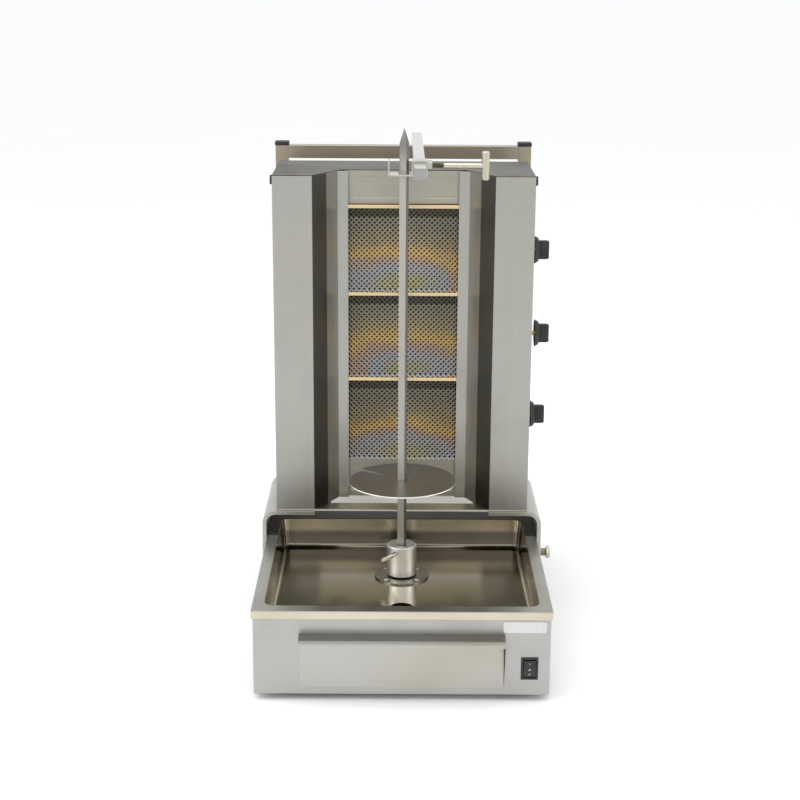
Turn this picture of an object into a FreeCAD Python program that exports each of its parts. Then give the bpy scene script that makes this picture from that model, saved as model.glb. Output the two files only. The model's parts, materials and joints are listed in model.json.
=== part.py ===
import FreeCAD, Part
import os
import re
import Sketcher

# Vertical gas grill with a turning spit: a low base with a drip tray and a drawer, a heater carriage
# with three radiant burners that slides fore and aft on the base, and a rear frame with an arm that
# steadies the top of the skewer.
# Frame: +Z up, +Y to the back, +X to the right of a person facing it. The origin is on the ground,
# on the axis of the spit. All sizes are in millimetres and degrees.

SIZES = {
    # base housing
    "base_width": 495, "base_depth": 722, "rim_height": 162, "spit_setback": 297, "base_sheet": 1.2,
    "foot_height": 12, "foot_top_radius": 12, "foot_bottom_radius": 10.5, "foot_inset": 38,
    # drip tray and the cover behind it
    "rim_overhang": 2.5, "rim_side": 20, "rim_front": 24, "rim_back": 42, "rim_skirt": 14, "tray_length": 492,
    "tray_depth": 56, "tray_sheet": 1.2, "tray_draft": 5, "tray_corner": 17, "tray_bottom_round": 9,
    "drain_radius": 20, "drain_ahead": 148, "deck_gap": 0.5,
    # drawer
    "drawer_inset": 76.5, "drawer_drop": 41, "drawer_bottom": 24, "drawer_sheet": 1.2, "drawer_gap": 0.3,
    "grip_reach": 22, "grip_lip": 12, "grip_fall": 3, "box_inset": 11, "box_depth": 224,
    "box_bottom": 36, "box_headroom": 6.8, "opening_gap": 2, "runner_width": 10, "runner_inset": 4,
    # switch, badge and cable gland
    "switch_inset": 34.2, "switch_z": 60, "bezel_width": 29, "bezel_height": 40, "bezel_face": 2,
    "bezel_lip": 2, "switch_depth": 22, "switch_wall": 1.8, "switch_gap": 0.2, "rocker_side_gap": 0.4,
    "rocker_end_gap": 1.2, "rocker_crest": 5.5, "rocker_edge": 2.4, "rocker_depth": 12, "rocker_flat": 3,
    "badge_inset": 43.5, "badge_drop": 28, "badge_width": 72, "badge_height": 20, "badge_sheet": 0.8,
    "badge_corner": 4,
    "gland_x": 150, "gland_z": 60, "gland_neck": 9, "gland_nut": 13, "gland_reach": 16,
    "gland_inside": 12, "gland_bore": 4.2, "gland_gap": 0.2,
    "vent_count": 5, "vent_width": 6, "vent_height": 40, "vent_pitch": 16, "vent_z": 87,
    # drive under the tray
    "gearbox_width": 84, "gearbox_length": 96, "gearbox_height": 44, "gearbox_boss": 19,
    "gearbox_drop": 8, "motor_radius": 28, "motor_length": 92, "motor_headroom": 2,
    "bracket_sheet": 2.5, "bracket_foot": 18,
    "bracket_side_gap": 6, "shaft_radius": 10, "shaft_fit": 0.05, "shaft_engage": 26,
    "plate_radius": 49.5, "plate_thick": 3, "plate_edge": 9.5, "plate_screw": 2.5,
    "plate_screw_head": 4.6, "plate_screw_rise": 2.2, "screw_gap": 0.1, "screw_below": 4,
    "seal_radius": 20.5, "running_gap": 0.3,
    # spindle: hub, skewer, disc
    "spindle_turn": -22, "hub_radius": 26.75, "hub_height": 56, "hub_rise": 6, "hub_chamfer": 2,
    "hub_mouth_radius": 14.5, "hub_mouth_depth": 3, "hub_bore_radius": 10.5, "hub_bore_depth": 8,
    "socket_gap": 0.2, "hub_seat": 10, "skewer_width": 12.5, "skewer_insert": 40, "skewer_rise": 56.5,
    "skewer_taper": 24, "skewer_tip": 0.8, "pin_radius": 2.2, "pin_gap": 0.1, "pin_length": 36,
    "hole_pitch": 18, "hole_count": 4, "disc_radius": 97.5, "disc_thick": 2, "disc_bottom": 289,
    "disc_gap": 0.3,
    "slit_width": 1.2, "slit_angle": 158,
    "wing_radius": 4, "wing_drop": 8, "wing_reach": 12, "wing_length": 21, "wing_thick": 5,
    "wing_width": 7, "wing_tilt": -32, "wing_gap": 0.3, "wing_fit": 0.08, "wing_round": 3.2,
    # rear frame and arm
    "frame_headroom": 12, "post_size": 25, "tube_wall": 1.5, "cap_height": 7, "cap_lip": 1,
    "arm_size": 20, "arm_offset": 26.3, "arm_ahead": 82.5, "arm_tail": 25, "arm_end": 3,
    # clamp on the arm
    "sleeve_fit": 0.2, "sleeve_wall": 3.5, "clamp_ahead": 16.5, "clamp_length": 35, "stirrup_reach": 27.7,
    "stirrup_sheet": 3, "stirrup_rise": 23, "slot_gap": 1.2, "nut_flats": 17, "nut_length": 8,
    "rod_radius": 4.7, "rod_length": 88, "thread_length": 20, "thread_radius": 4.2, "rod_fit": 0.05,
    "handle_radius": 6.8, "handle_length": 50, "handle_round": 4, "rod_rise": 14,
    # heater carriage
    "heater_width": 464, "heater_height": 620, "heater_depth": 205, "heater_lift": 50,
    "heater_setback": 58.5, "heater_sheet": 1.2, "throat_half": 100, "strip_width": 19, "strip_depth": 70,
    "fold_out": 38.5, "fold_depth": 33, "fold_mitre": 1.1, "column_out": 62, "panel_depth": 80,
    "panel_lap": 6, "notch_lap": 13, "ledge_depth": 46, "slot_side": 134,
    "burner_rise": 75, "crown_height": 62, "burner_gap": 1, "guard_ahead": 4, "guard_thick": 2,
    "case_depth": 45, "case_gap": 2, "case_wall": 1.5, "tile_gap": 3, "tile_thick": 12,
    "tile_setback": 4,
    # brackets that carry the heater on the base
    "saddle_thick": 7.5, "saddle_gap": 3.5, "saddle_ahead": 8, "saddle_bend": 25, "saddle_drop": 58,
    "saddle_end": 161, "bolt_radius": 4, "bolt_head_radius": 5.8, "bolt_head": 5.4, "bolt_gap": 0.2,
    "bolt_drop": 36, "bolt_y": 104, "lock_y": 72, "lock_neck_radius": 6.2, "lock_neck": 10,
    "lock_radius": 12, "lock_thick": 7, "lock_washer": 8, "lock_washer_thick": 2, "stud_inside": 10,
    "slide_forward": 20, "slide_stop": 6.5, "slot_clear": 0.3,
    # gas fittings
    "valve_y": 100.5, "valve_rise": 20.1, "valve_fall": 7.3, "valve_radius": 11, "valve_length": 30,
    "valve_gap": 0.3, "stem_radius": 4, "stem_fit": 0.06, "stem_inside": 14, "stem_gap": 1, "push_room": 4,
    "pipe_radius": 9, "pipe_rise": 30, "pipe_above": 22, "tail_radius": 10, "tail_gap": 2, "tail_length": 26,
    "tail_bore": 6, "tail_bore_depth": 30, "tee_wall": 3, "feed_radius": 4, "feed_out": 12,
    "feed_behind": 23, "feed_end_x": 40,
    "probe_radius": 1.5, "probe_length": 30, "probe_x": 85, "probe_behind": 0.5,
    "knob_gap": 3.5, "knob_radius": 25, "knob_neck_radius": 16, "knob_collar": 6.5, "knob_edge": 2,
    "grip_height": 33, "grip_thick": 13, "grip_length": 20, "knob_bore_depth": 18, "pulled_out": 4,
    "plug_radius": 8.5, "plug_thick": 4.5, "plug_y": 75.5, "plug_below_top": 10,
}

BURNERS = ("bottom", "middle", "top")
NEAR = 0.01
LITTLE = 1e-3

doc = FreeCAD.newDocument("gyros_grill")
sheet = doc.addObject("Spreadsheet::Sheet", "Sizes")
for row, (alias, size) in enumerate(SIZES.items(), start=1):
    sheet.set(f"A{row}", alias)
    sheet.set(f"B{row}", str(size))
    sheet.setAlias(f"B{row}", alias)
doc.recompute()

parts = {}


def tied(text):
    """The expression with every size name looked up in the sheet."""
    return re.sub(r"\b[a-z][a-z0-9]*(?:_[a-z0-9]+)+\b", lambda name: "Sizes." + name.group(0), str(text))


def value(text):
    return float(sheet.evalExpression(tied(text)))


def bind(obj, **sizes):
    for prop, text in sizes.items():
        obj.setExpression(prop, tied(text))
    return obj


def place(obj, x="0", y="0", z="0", turn=None, about=(0, 0, 1)):
    """Puts obj at x, y, z, turned about an axis through that point. A rotation holds no negative angle, so
    a turn the other way is a turn about the opposite axis."""
    if turn is not None:
        sign = -1 if value(turn) < 0 else 1
        obj.Placement = FreeCAD.Placement(
            FreeCAD.Vector(0, 0, 0), FreeCAD.Rotation(sign * FreeCAD.Vector(*about), abs(value(turn))))
        obj.setExpression("Placement.Rotation.Angle", tied(f"{sign} * ({turn})"))
    for axis, text in (("x", x), ("y", y), ("z", z)):
        obj.setExpression("Placement.Base." + axis, tied(text))
    return obj


def keep(label, obj):
    obj.Label = label
    parts[label] = obj
    return obj


def box(name, x, y, z):
    """A block between two planes on each axis, each given as a (low, high) pair."""
    block = doc.addObject("Part::Box", name)
    for prop, (low, high) in (("Length", x), ("Width", y), ("Height", z)):
        block.setExpression(prop, tied(f"({high}) - ({low})"))
    return place(block, x[0], y[0], z[0])


AXIS_TURNS = {"Z": ((0, 0, 1), 0), "X": ((0, 1, 0), 90), "Y": ((1, 0, 0), -90)}


def rod(name, radius, axis, start, end, centre):
    """A cylinder along an axis from start to end. centre is its place on the other two axes."""
    about, angle = AXIS_TURNS[axis]
    cylinder = doc.addObject("Part::Cylinder", name)
    bind(cylinder, Radius=radius, Height=f"({end}) - ({start})")
    cylinder.Placement = FreeCAD.Placement(
        FreeCAD.Vector(0, 0, 0), FreeCAD.Rotation(FreeCAD.Vector(*about), angle))
    where = list(centre)
    where.insert("XYZ".index(axis), start)
    for letter, text in zip("xyz", where):
        cylinder.setExpression("Placement.Base." + letter, tied(text))
    return cylinder


def group(label, members):
    """Separate solids of one kind, kept as one sub-part."""
    compound = doc.addObject("Part::Compound", label)
    compound.Links = members
    return keep(label, compound)


def fuse(name, members):
    fused = doc.addObject("Part::MultiFuse", name)
    fused.Shapes = members
    return fused


def cut(name, base, tool):
    difference = doc.addObject("Part::Cut", name)
    difference.Base = base
    difference.Tool = tool
    doc.recompute()
    if difference.Shape.Volume > base.Shape.Volume - LITTLE:
        raise RuntimeError(f"{name}: the cut removed nothing")
    return difference


class Piece:
    """A sub-part made as a PartDesign body from sketches on its own origin planes."""

    AWAY = {"XY": 1, "YZ": 1, "XZ": -1}

    def __init__(self, label):
        self.body = doc.addObject("PartDesign::Body", label)
        keep(label, self.body)

    def sketch(self, plane, at, loops):
        """A sketch on an origin plane moved to at along its axis. A loop is a list of corners or a circle."""
        support = next(o for o in self.body.Origin.OriginFeatures if o.Role == plane + "_Plane")
        sketch = self.body.newObject("Sketcher::SketchObject", self.body.Name + "_sketch")
        sketch.AttachmentSupport = [(support, "")]
        sketch.MapMode = "FlatFace"
        sign = "-" if self.AWAY[plane] < 0 else ""
        sketch.setExpression("AttachmentOffset.Base.z", tied(f"{sign}({at})"))
        for loop in loops:
            if isinstance(loop, dict):
                self._circle(sketch, **loop)
            else:
                self._polygon(sketch, loop)
        return sketch

    @staticmethod
    def _pin(sketch, geometry, point, x, y):
        for kind, text in (("DistanceX", x), ("DistanceY", y)):
            index = sketch.addConstraint(
                Sketcher.Constraint(kind, -1, 1, geometry, point, value(text)))
            sketch.setExpression(f"Constraints[{index}]", tied(text))

    def _polygon(self, sketch, corners):
        first = sketch.GeometryCount
        spots = [FreeCAD.Vector(value(x), value(y), 0) for x, y in corners]
        count = len(spots)
        for i in range(count):
            sketch.addGeometry(Part.LineSegment(spots[i], spots[(i + 1) % count]), False)
        for i in range(count):
            sketch.addConstraint(
                Sketcher.Constraint("Coincident", first + i, 2, first + (i + 1) % count, 1))
        for i, (x, y) in enumerate(corners):
            self._pin(sketch, first + i, 1, x, y)

    def _circle(self, sketch, x, y, radius):
        index = sketch.GeometryCount
        centre = FreeCAD.Vector(value(x), value(y), 0)
        sketch.addGeometry(Part.Circle(centre, FreeCAD.Vector(0, 0, 1), value(radius)), False)
        self._pin(sketch, index, 3, x, y)
        constraint = sketch.addConstraint(Sketcher.Constraint("Radius", index, value(radius)))
        sketch.setExpression(f"Constraints[{constraint}]", tied(radius))

    def _feature(self, kind, profile):
        feature = self.body.newObject("PartDesign::" + kind, self.body.Name + "_" + kind.lower())
        feature.Profile = profile
        return feature

    def pad(self, plane, start, end, loops):
        """Material between two planes across the sketch's axis, start below end."""
        feature = self._feature("Pad", self.sketch(plane, start, loops))
        feature.Reversed = self.AWAY[plane] < 0
        bind(feature, Length=f"({end}) - ({start})")
        doc.recompute()
        return self

    def pocket(self, plane, start, end, loops):
        before = self.body.Shape.Volume
        feature = self._feature("Pocket", self.sketch(plane, start, loops))
        feature.Reversed = self.AWAY[plane] > 0
        bind(feature, Length=f"({end}) - ({start})")
        doc.recompute()
        if not self.body.Shape.Volume < before - LITTLE:
            raise RuntimeError(f"{self.body.Label}: a pocket removed nothing")
        return self

    def turned(self, outline, axis="V"):
        """A solid of revolution. outline is on the XZ plane as (radius, height) corners, or on the
        XY plane as (length along X, radius) corners when axis is H."""
        plane = "XZ" if axis == "V" else "XY"
        profile = self.sketch(plane, "0", [outline])
        feature = self._feature("Revolution", profile)
        feature.ReferenceAxis = (profile, [axis + "_Axis"])
        feature.Angle = 360
        doc.recompute()
        return self

    def loft(self, kind, lower, upper):
        """A solid between two polygons, each given as (z, corners)."""
        sections = [self.sketch("XY", z, [corners]) for z, corners in (lower, upper)]
        feature = self._feature(kind, sections[0])
        feature.Sections = [sections[1]]
        feature.Ruled = True
        doc.recompute()
        return self

    def wedge(self, kind, low, high, foot, head):
        """A block with sloped sides between two heights. foot and head are (half width, front, back)."""
        feature = self.body.newObject("PartDesign::" + kind, self.body.Name + "_wedge")
        support = next(o for o in self.body.Origin.OriginFeatures if o.Role == "XZ_Plane")
        feature.AttachmentSupport = [(support, "")]
        feature.MapMode = "FlatFace"
        for mark, (half, front, back) in (("", foot), ("2", head)):
            bind(feature, **{f"X{mark}min": f"-({half})", f"X{mark}max": half,
                             f"Z{mark}min": f"-({back})", f"Z{mark}max": f"-({front})"})
        bind(feature, Ymin=low, Ymax=high)
        doc.recompute()
        return self

    def round(self, radius, wanted):
        """Rounds the edges for which wanted(edge) is true."""
        base = self.body.Tip
        names = [f"Edge{i}" for i, edge in enumerate(base.Shape.Edges, start=1) if wanted(edge)]
        if not names:
            raise RuntimeError(f"{self.body.Label}: no edge to round")
        feature = self.body.newObject("PartDesign::Fillet", self.body.Name + "_fillet")
        feature.Base = (base, names)
        bind(feature, Radius=radius)
        doc.recompute()
        return self

    def at(self, **where):
        place(self.body, **where)
        return self


def rectangle(x0, x1, y0, y1):
    return [(x0, y0), (x1, y0), (x1, y1), (x0, y1)]


def circle(x, y, radius):
    return {"x": x, "y": y, "radius": radius}


# Planes that several sub-parts share
FRONT = "(-spit_setback)"
REAR = "(base_depth - spit_setback)"
SIDE = "(base_width / 2)"
UNDERSIDE = "foot_height"
FLOOR_TOP = "(foot_height + base_sheet)"
RIM_SIDE = "(base_width / 2 + rim_overhang)"
RIM_FRONT = "(-spit_setback - rim_overhang)"
RIM_BACK = f"({RIM_FRONT} + tray_length)"
RIM_UNDER = "(rim_height - tray_sheet)"
TRAY_FLOOR = "(rim_height - tray_depth)"
TRAY_UNDER = f"({TRAY_FLOOR} - tray_sheet)"
PLATE_TOP = f"({TRAY_FLOOR} + plate_thick)"
HUB_TOP = "(rim_height + hub_rise)"
HUB_FOOT = f"({HUB_TOP} - hub_height)"
HEATER_FOOT = "(rim_height + heater_lift)"
HEATER_TOP = f"({HEATER_FOOT} + heater_height)"
HEATER_SIDE = "(heater_width / 2)"
HEATER_FRONT = "(heater_setback)"
HEATER_BACK = "(heater_setback + heater_depth)"
POST_FRONT = f"({REAR} - post_size)"
ARM_FOOT = f"({HEATER_TOP} + frame_headroom)"
ARM_TOP = f"({ARM_FOOT} + arm_size)"
BOLT_Z = "(rim_height - bolt_drop)"
SLOT_FRONT = "(lock_y - slide_forward)"
SLOT_BACK = f"(bolt_y + {POST_FRONT} - {HEATER_BACK} - slide_stop)"


def on_side(sign, near, far):
    """The (low, high) pair of x planes for a span on the right (1) or the left (-1)."""
    return (near, far) if sign > 0 else (f"-({far})", f"-({near})")


def back_from_heater(depth):
    """A y place measured back from the front face of the heater."""
    return f"({HEATER_FRONT} + {depth})"


# ---------------------------------------------------------------- base housing

keep("base_floor", box("base_floor", (f"-{SIDE} + base_sheet", f"{SIDE} - base_sheet"),
                       (f"{FRONT} + base_sheet", f"{REAR} - base_sheet"), (UNDERSIDE, FLOOR_TOP)))

DRAWER_SIDE = f"({SIDE} - drawer_inset)"
DRAWER_TOP = "(rim_height - drawer_drop)"
BOX_SIDE = f"({DRAWER_SIDE} - box_inset)"
BOX_TOP = f"({TRAY_UNDER} - box_headroom)"
OPENING_SIDE = f"({BOX_SIDE} + opening_gap)"
SWITCH_X = f"({SIDE} - switch_inset)"


def switch_rectangle(inset, end_inset=None):
    """A rectangle centred on the switch, inset from the outline of its bezel."""
    half_width = f"(bezel_width / 2 - ({inset}))"
    half_height = f"(bezel_height / 2 - ({end_inset or inset}))"
    return rectangle(f"{SWITCH_X} - {half_width}", f"{SWITCH_X} + {half_width}",
                     f"switch_z - {half_height}", f"switch_z + {half_height}")


Piece("front_panel").pad("XZ", FRONT, f"{FRONT} + base_sheet", [
    rectangle(f"-{SIDE}", SIDE, UNDERSIDE, RIM_UNDER),
    rectangle(f"-{OPENING_SIDE}", OPENING_SIDE, "box_bottom - opening_gap", f"{BOX_TOP} + opening_gap"),
    switch_rectangle("bezel_lip - switch_gap")])

SLOT_HALF = "(bolt_radius + slot_clear)"
for name, sign in (("left", -1), ("right", 1)):
    planes = on_side(sign, f"{SIDE} - base_sheet", SIDE)
    panel = Piece("side_panel_" + name).pad("YZ", *planes, [
        rectangle(f"{FRONT} + base_sheet", f"{REAR} - base_sheet", UNDERSIDE, RIM_UNDER)])
    panel.pocket("YZ", *planes, [
        rectangle(SLOT_FRONT, SLOT_BACK, f"{BOLT_Z} - {SLOT_HALF}", f"{BOLT_Z} + {SLOT_HALF}")])
    for end in (SLOT_FRONT, SLOT_BACK):
        panel.pocket("YZ", *planes, [circle(end, BOLT_Z, SLOT_HALF)])

vents = []
for i in range(SIZES["vent_count"]):
    vent_x = f"vent_pitch * ({i} - (vent_count - 1) / 2)"
    vents.append(rectangle(f"{vent_x} - vent_width / 2", f"{vent_x} + vent_width / 2",
                           "vent_z - vent_height / 2", "vent_z + vent_height / 2"))
Piece("rear_panel").pad("XZ", f"{REAR} - base_sheet", REAR, [
    rectangle(f"-{SIDE}", SIDE, UNDERSIDE, RIM_UNDER),
    circle("gland_x", "gland_z", "gland_neck + gland_gap")] + vents)

foot_x = f"({SIDE} - foot_inset)"
feet = []
for x in ("-" + foot_x, foot_x):
    for y in (f"{FRONT} + foot_inset", f"{REAR} - foot_inset"):
        foot = doc.addObject("Part::Cone", "foot")
        bind(foot, Radius1="foot_bottom_radius", Radius2="foot_top_radius", Height="foot_height")
        feet.append(place(foot, x, y))
group("feet", feet)

# ---------------------------------------------------------------- drip tray and rear deck

PAN_SIDE = f"({RIM_SIDE} - rim_side)"
PAN_FRONT = f"({RIM_FRONT} + rim_front)"
PAN_BACK = f"({RIM_BACK} - rim_back)"
DRAFT = "(tray_depth * tan(tray_draft))"


def pan(inset):
    return f"{PAN_SIDE} - ({inset})", f"{PAN_FRONT} + {inset}", f"{PAN_BACK} - ({inset})"


def steep(low, high):
    """Picks the near-vertical straight edges of the pan between two heights."""
    def wanted(edge):
        bounds = edge.BoundBox
        return (bounds.ZLength > value("tray_depth") * 0.8 and value(low) - NEAR < bounds.ZMin
                and bounds.ZMax < value(high) + NEAR and bounds.XMax < value(PAN_SIDE) + 2
                and bounds.XMin > -value(PAN_SIDE) - 2)
    return wanted


def level(height, inset):
    """Picks the edges at one height inside the pan's outline."""
    def wanted(edge):
        bounds = edge.BoundBox
        return bounds.ZLength < NEAR and abs(bounds.ZMin - value(height)) < NEAR and \
            bounds.XMax < value(PAN_SIDE) - inset + 0.1
    return wanted


tray = Piece("drip_tray")
tray.pad("XY", RIM_UNDER, "rim_height", [rectangle(f"-{RIM_SIDE}", RIM_SIDE, RIM_FRONT, RIM_BACK)])
tray.wedge("AdditiveWedge", TRAY_UNDER, RIM_UNDER, pan(f"{DRAFT} - tray_sheet"), pan("(0 - tray_sheet)"))
tray.wedge("SubtractiveWedge", TRAY_FLOOR, "rim_height", pan(DRAFT), pan("0"))
tray.round("tray_corner", steep(TRAY_FLOOR, "rim_height"))
tray.round("tray_corner + tray_sheet", steep(TRAY_UNDER, RIM_UNDER))
tray.round("tray_bottom_round", level(TRAY_FLOOR, 0))
tray.round("tray_bottom_round + tray_sheet", level(TRAY_UNDER, 0))
tray.pocket("XY", TRAY_UNDER, TRAY_FLOOR, [
    circle("0", "-drain_ahead", "drain_radius"), circle("0", "0", "gearbox_boss + screw_gap")])
SCREW_OUT = "(plate_radius - plate_edge)"
screw_places = [(f"{sx} * {SCREW_OUT} * cos(45)", f"{sy} * {SCREW_OUT} * sin(45)")
                for sx in (-1, 1) for sy in (-1, 1)]
tray.pocket("XY", TRAY_UNDER, TRAY_FLOOR, [circle(x, y, "plate_screw + screw_gap") for x, y in screw_places])
skirt_in = f"({RIM_SIDE} - tray_sheet)"
tray.pad("XY", "rim_height - rim_skirt", RIM_UNDER, [[
    (f"-{RIM_SIDE}", RIM_FRONT), (RIM_SIDE, RIM_FRONT), (RIM_SIDE, RIM_BACK), (skirt_in, RIM_BACK),
    (skirt_in, f"{RIM_FRONT} + tray_sheet"), (f"-{skirt_in}", f"{RIM_FRONT} + tray_sheet"),
    (f"-{skirt_in}", RIM_BACK), (f"-{RIM_SIDE}", RIM_BACK)]])

keep("rear_deck", box("rear_deck", (f"-{RIM_SIDE}", RIM_SIDE), (f"{RIM_BACK} + deck_gap", REAR),
                      (RIM_UNDER, "rim_height")))

# ---------------------------------------------------------------- drawer, switch, badge, cable gland

FACE_BACK = f"({FRONT} - drawer_gap)"
FACE_FRONT = f"({FACE_BACK} - drawer_sheet)"
LIP_FRONT = f"({FACE_FRONT} - grip_reach)"
Piece("drawer_front").pad("YZ", f"-{DRAWER_SIDE}", DRAWER_SIDE, [[
    (FACE_BACK, "drawer_bottom"), (FACE_BACK, DRAWER_TOP),
    (LIP_FRONT, f"{DRAWER_TOP} - grip_fall"), (LIP_FRONT, f"{DRAWER_TOP} - grip_fall - grip_lip"),
    (f"{LIP_FRONT} + drawer_sheet", f"{DRAWER_TOP} - grip_fall - grip_lip"),
    (f"{LIP_FRONT} + drawer_sheet", f"{DRAWER_TOP} - grip_fall - drawer_sheet"),
    (FACE_FRONT, f"{DRAWER_TOP} - drawer_sheet"), (FACE_FRONT, "drawer_bottom")]])

BOX_BACK = f"({FACE_BACK} + box_depth)"
Piece("drawer_box").pad("XY", "box_bottom", BOX_TOP, [
    rectangle(f"-{BOX_SIDE}", BOX_SIDE, FACE_BACK, BOX_BACK)]).pocket(
    "XY", "box_bottom + drawer_sheet", BOX_TOP, [
        rectangle(f"-{BOX_SIDE} + drawer_sheet", f"{BOX_SIDE} - drawer_sheet",
                  f"{FACE_BACK} + drawer_sheet", f"{BOX_BACK} - drawer_sheet")])

runners = []
for sign in (-1, 1):
    span = on_side(sign, f"{BOX_SIDE} - runner_inset - runner_width", f"{BOX_SIDE} - runner_inset")
    runners.append(box("runner", span, (f"{FRONT} + base_sheet", BOX_BACK),
                       (FLOOR_TOP, "box_bottom - running_gap")))
group("drawer_runners", runners)


WELL_INSET = "(bezel_lip + switch_wall)"
Piece("switch_bezel").pad("XZ", f"{FRONT} - bezel_face", FRONT, [switch_rectangle("0")]).pad(
    "XZ", FRONT, f"{FRONT} + switch_depth", [switch_rectangle("bezel_lip")]).pocket(
    "XZ", f"{FRONT} - bezel_face", f"{FRONT} + switch_depth - bezel_face", [switch_rectangle(WELL_INSET)])

ROCKER_SIDE = f"(bezel_width / 2 - {WELL_INSET} - rocker_side_gap)"
ROCKER_HALF = f"(bezel_height / 2 - {WELL_INSET} - rocker_end_gap)"
Piece("rocker").pad("YZ", f"{SWITCH_X} - {ROCKER_SIDE}", f"{SWITCH_X} + {ROCKER_SIDE}", [[
    (f"{FRONT} - rocker_edge", f"switch_z - {ROCKER_HALF}"),
    (f"{FRONT} - rocker_crest", "switch_z - rocker_flat"),
    (f"{FRONT} - rocker_crest", "switch_z + rocker_flat"),
    (f"{FRONT} - rocker_edge", f"switch_z + {ROCKER_HALF}"),
    (f"{FRONT} + rocker_depth", f"switch_z + {ROCKER_HALF} / 2"),
    (f"{FRONT} + rocker_depth", f"switch_z - {ROCKER_HALF} / 2")]])

BADGE_X = f"({SIDE} - badge_inset)"
BADGE_Z = "(rim_height - badge_drop)"
Piece("blank_badge").pad("XZ", f"{FRONT} - badge_sheet", FRONT, [
    rectangle(f"{BADGE_X} - badge_width / 2", f"{BADGE_X} + badge_width / 2",
              f"{BADGE_Z} - badge_height / 2", f"{BADGE_Z} + badge_height / 2")]).round(
    "badge_corner", lambda edge: edge.BoundBox.YLength > value("badge_sheet") * 0.9)

Piece("cable_gland").turned([
    ("gland_bore", "-gland_inside"), ("gland_neck", "-gland_inside"), ("gland_neck", "0"),
    ("gland_nut", "0"), ("gland_nut", "gland_reach / 2"), ("gland_neck", "gland_reach"),
    ("gland_bore", "gland_reach")]).at(x="gland_x", y=REAR, z="gland_z", turn="-90", about=(1, 0, 0))

# ---------------------------------------------------------------- drive under the tray

GEARBOX_TOP = f"({TRAY_UNDER} - gearbox_drop)"
GEARBOX_FOOT = f"({GEARBOX_TOP} - gearbox_height)"
GEARBOX_BACK = "(gearbox_length / 2)"
MOTOR_Z = f"({TRAY_UNDER} - motor_headroom - motor_radius)"
Piece("gearbox").pad("XY", GEARBOX_FOOT, GEARBOX_TOP, [
    rectangle("-gearbox_width / 2", "gearbox_width / 2", "-gearbox_length / 2", GEARBOX_BACK)]).pad(
    "XY", GEARBOX_TOP, TRAY_FLOOR, [circle("0", "0", "gearbox_boss")]).pocket(
    "XY", f"{TRAY_FLOOR} - shaft_engage - plate_thick", TRAY_FLOOR, [
        circle("0", "0", "shaft_radius + running_gap")])
keep("gear_motor", rod("gear_motor", "motor_radius", "Y", GEARBOX_BACK, f"{GEARBOX_BACK} + motor_length",
                       ("0", MOTOR_Z)))

bracket_half = "(gearbox_width / 2 + bracket_side_gap)"
Piece("motor_bracket").pad("XZ", "-gearbox_length / 2", "gearbox_length / 2", [[
    (f"-{bracket_half} - bracket_foot", FLOOR_TOP), (f"-{bracket_half} + bracket_sheet", FLOOR_TOP),
    (f"-{bracket_half} + bracket_sheet", f"{GEARBOX_FOOT} - bracket_sheet"),
    (f"{bracket_half} - bracket_sheet", f"{GEARBOX_FOOT} - bracket_sheet"),
    (f"{bracket_half} - bracket_sheet", FLOOR_TOP), (f"{bracket_half} + bracket_foot", FLOOR_TOP),
    (f"{bracket_half} + bracket_foot", f"{FLOOR_TOP} + bracket_sheet"),
    (bracket_half, f"{FLOOR_TOP} + bracket_sheet"), (bracket_half, GEARBOX_FOOT),
    (f"-{bracket_half}", GEARBOX_FOOT), (f"-{bracket_half}", f"{FLOOR_TOP} + bracket_sheet"),
    (f"-{bracket_half} - bracket_foot", f"{FLOOR_TOP} + bracket_sheet")]])

Piece("shaft_flange").pad("XY", TRAY_FLOOR, PLATE_TOP, [
    circle("0", "0", "plate_radius"), circle("0", "0", "shaft_radius + shaft_fit")]
    + [circle(x, y, "plate_screw + screw_gap") for x, y in screw_places])
screws = []
for x, y in screw_places:
    shank = rod("screw_shank", "plate_screw", "Z", f"{TRAY_UNDER} - screw_below", PLATE_TOP, (x, y))
    head = rod("screw_head", "plate_screw_head", "Z", PLATE_TOP, f"{PLATE_TOP} + plate_screw_rise", (x, y))
    screws.append(fuse("plate_screw", [shank, head]))
group("flange_screws", screws)

Piece("shaft_seal").pad("XY", PLATE_TOP, f"{HUB_FOOT} - running_gap", [
    circle("0", "0", "seal_radius"), circle("0", "0", "shaft_radius + running_gap")])

# ---------------------------------------------------------------- spindle

SEAT_TOP = f"({HUB_FOOT} + hub_seat)"
keep("drive_shaft", rod("drive_shaft", "shaft_radius", "Z",
                        f"{TRAY_FLOOR} - shaft_engage", SEAT_TOP, ("0", "0")))

SOCKET_HALF = "(skewer_width / 2 + socket_gap)"
SKEWER_FOOT = f"({HUB_TOP} - skewer_insert)"
WING_Z = f"({HUB_TOP} - wing_drop)"
hub = Piece("hub").turned([
    ("shaft_radius + shaft_fit", HUB_FOOT), ("hub_radius", HUB_FOOT),
    ("hub_radius", f"{HUB_TOP} - hub_chamfer"), ("hub_radius - hub_chamfer", HUB_TOP),
    ("hub_mouth_radius", HUB_TOP), ("hub_bore_radius", f"{HUB_TOP} - hub_mouth_depth"),
    ("hub_bore_radius", f"{HUB_TOP} - hub_bore_depth"), ("0", f"{HUB_TOP} - hub_bore_depth"),
    ("0", f"{SEAT_TOP}"), ("shaft_radius + shaft_fit", f"{SEAT_TOP}")])
hub.pocket("XY", f"{SKEWER_FOOT}", f"{HUB_TOP} - hub_bore_depth", [
    rectangle(f"-{SOCKET_HALF}", SOCKET_HALF, f"-{SOCKET_HALF}", SOCKET_HALF)])
hub.pocket("XZ", "-hub_radius", "-skewer_width / 2", [circle("0", WING_Z, "wing_radius + wing_fit")])
hub.at(turn="spindle_turn")

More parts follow.
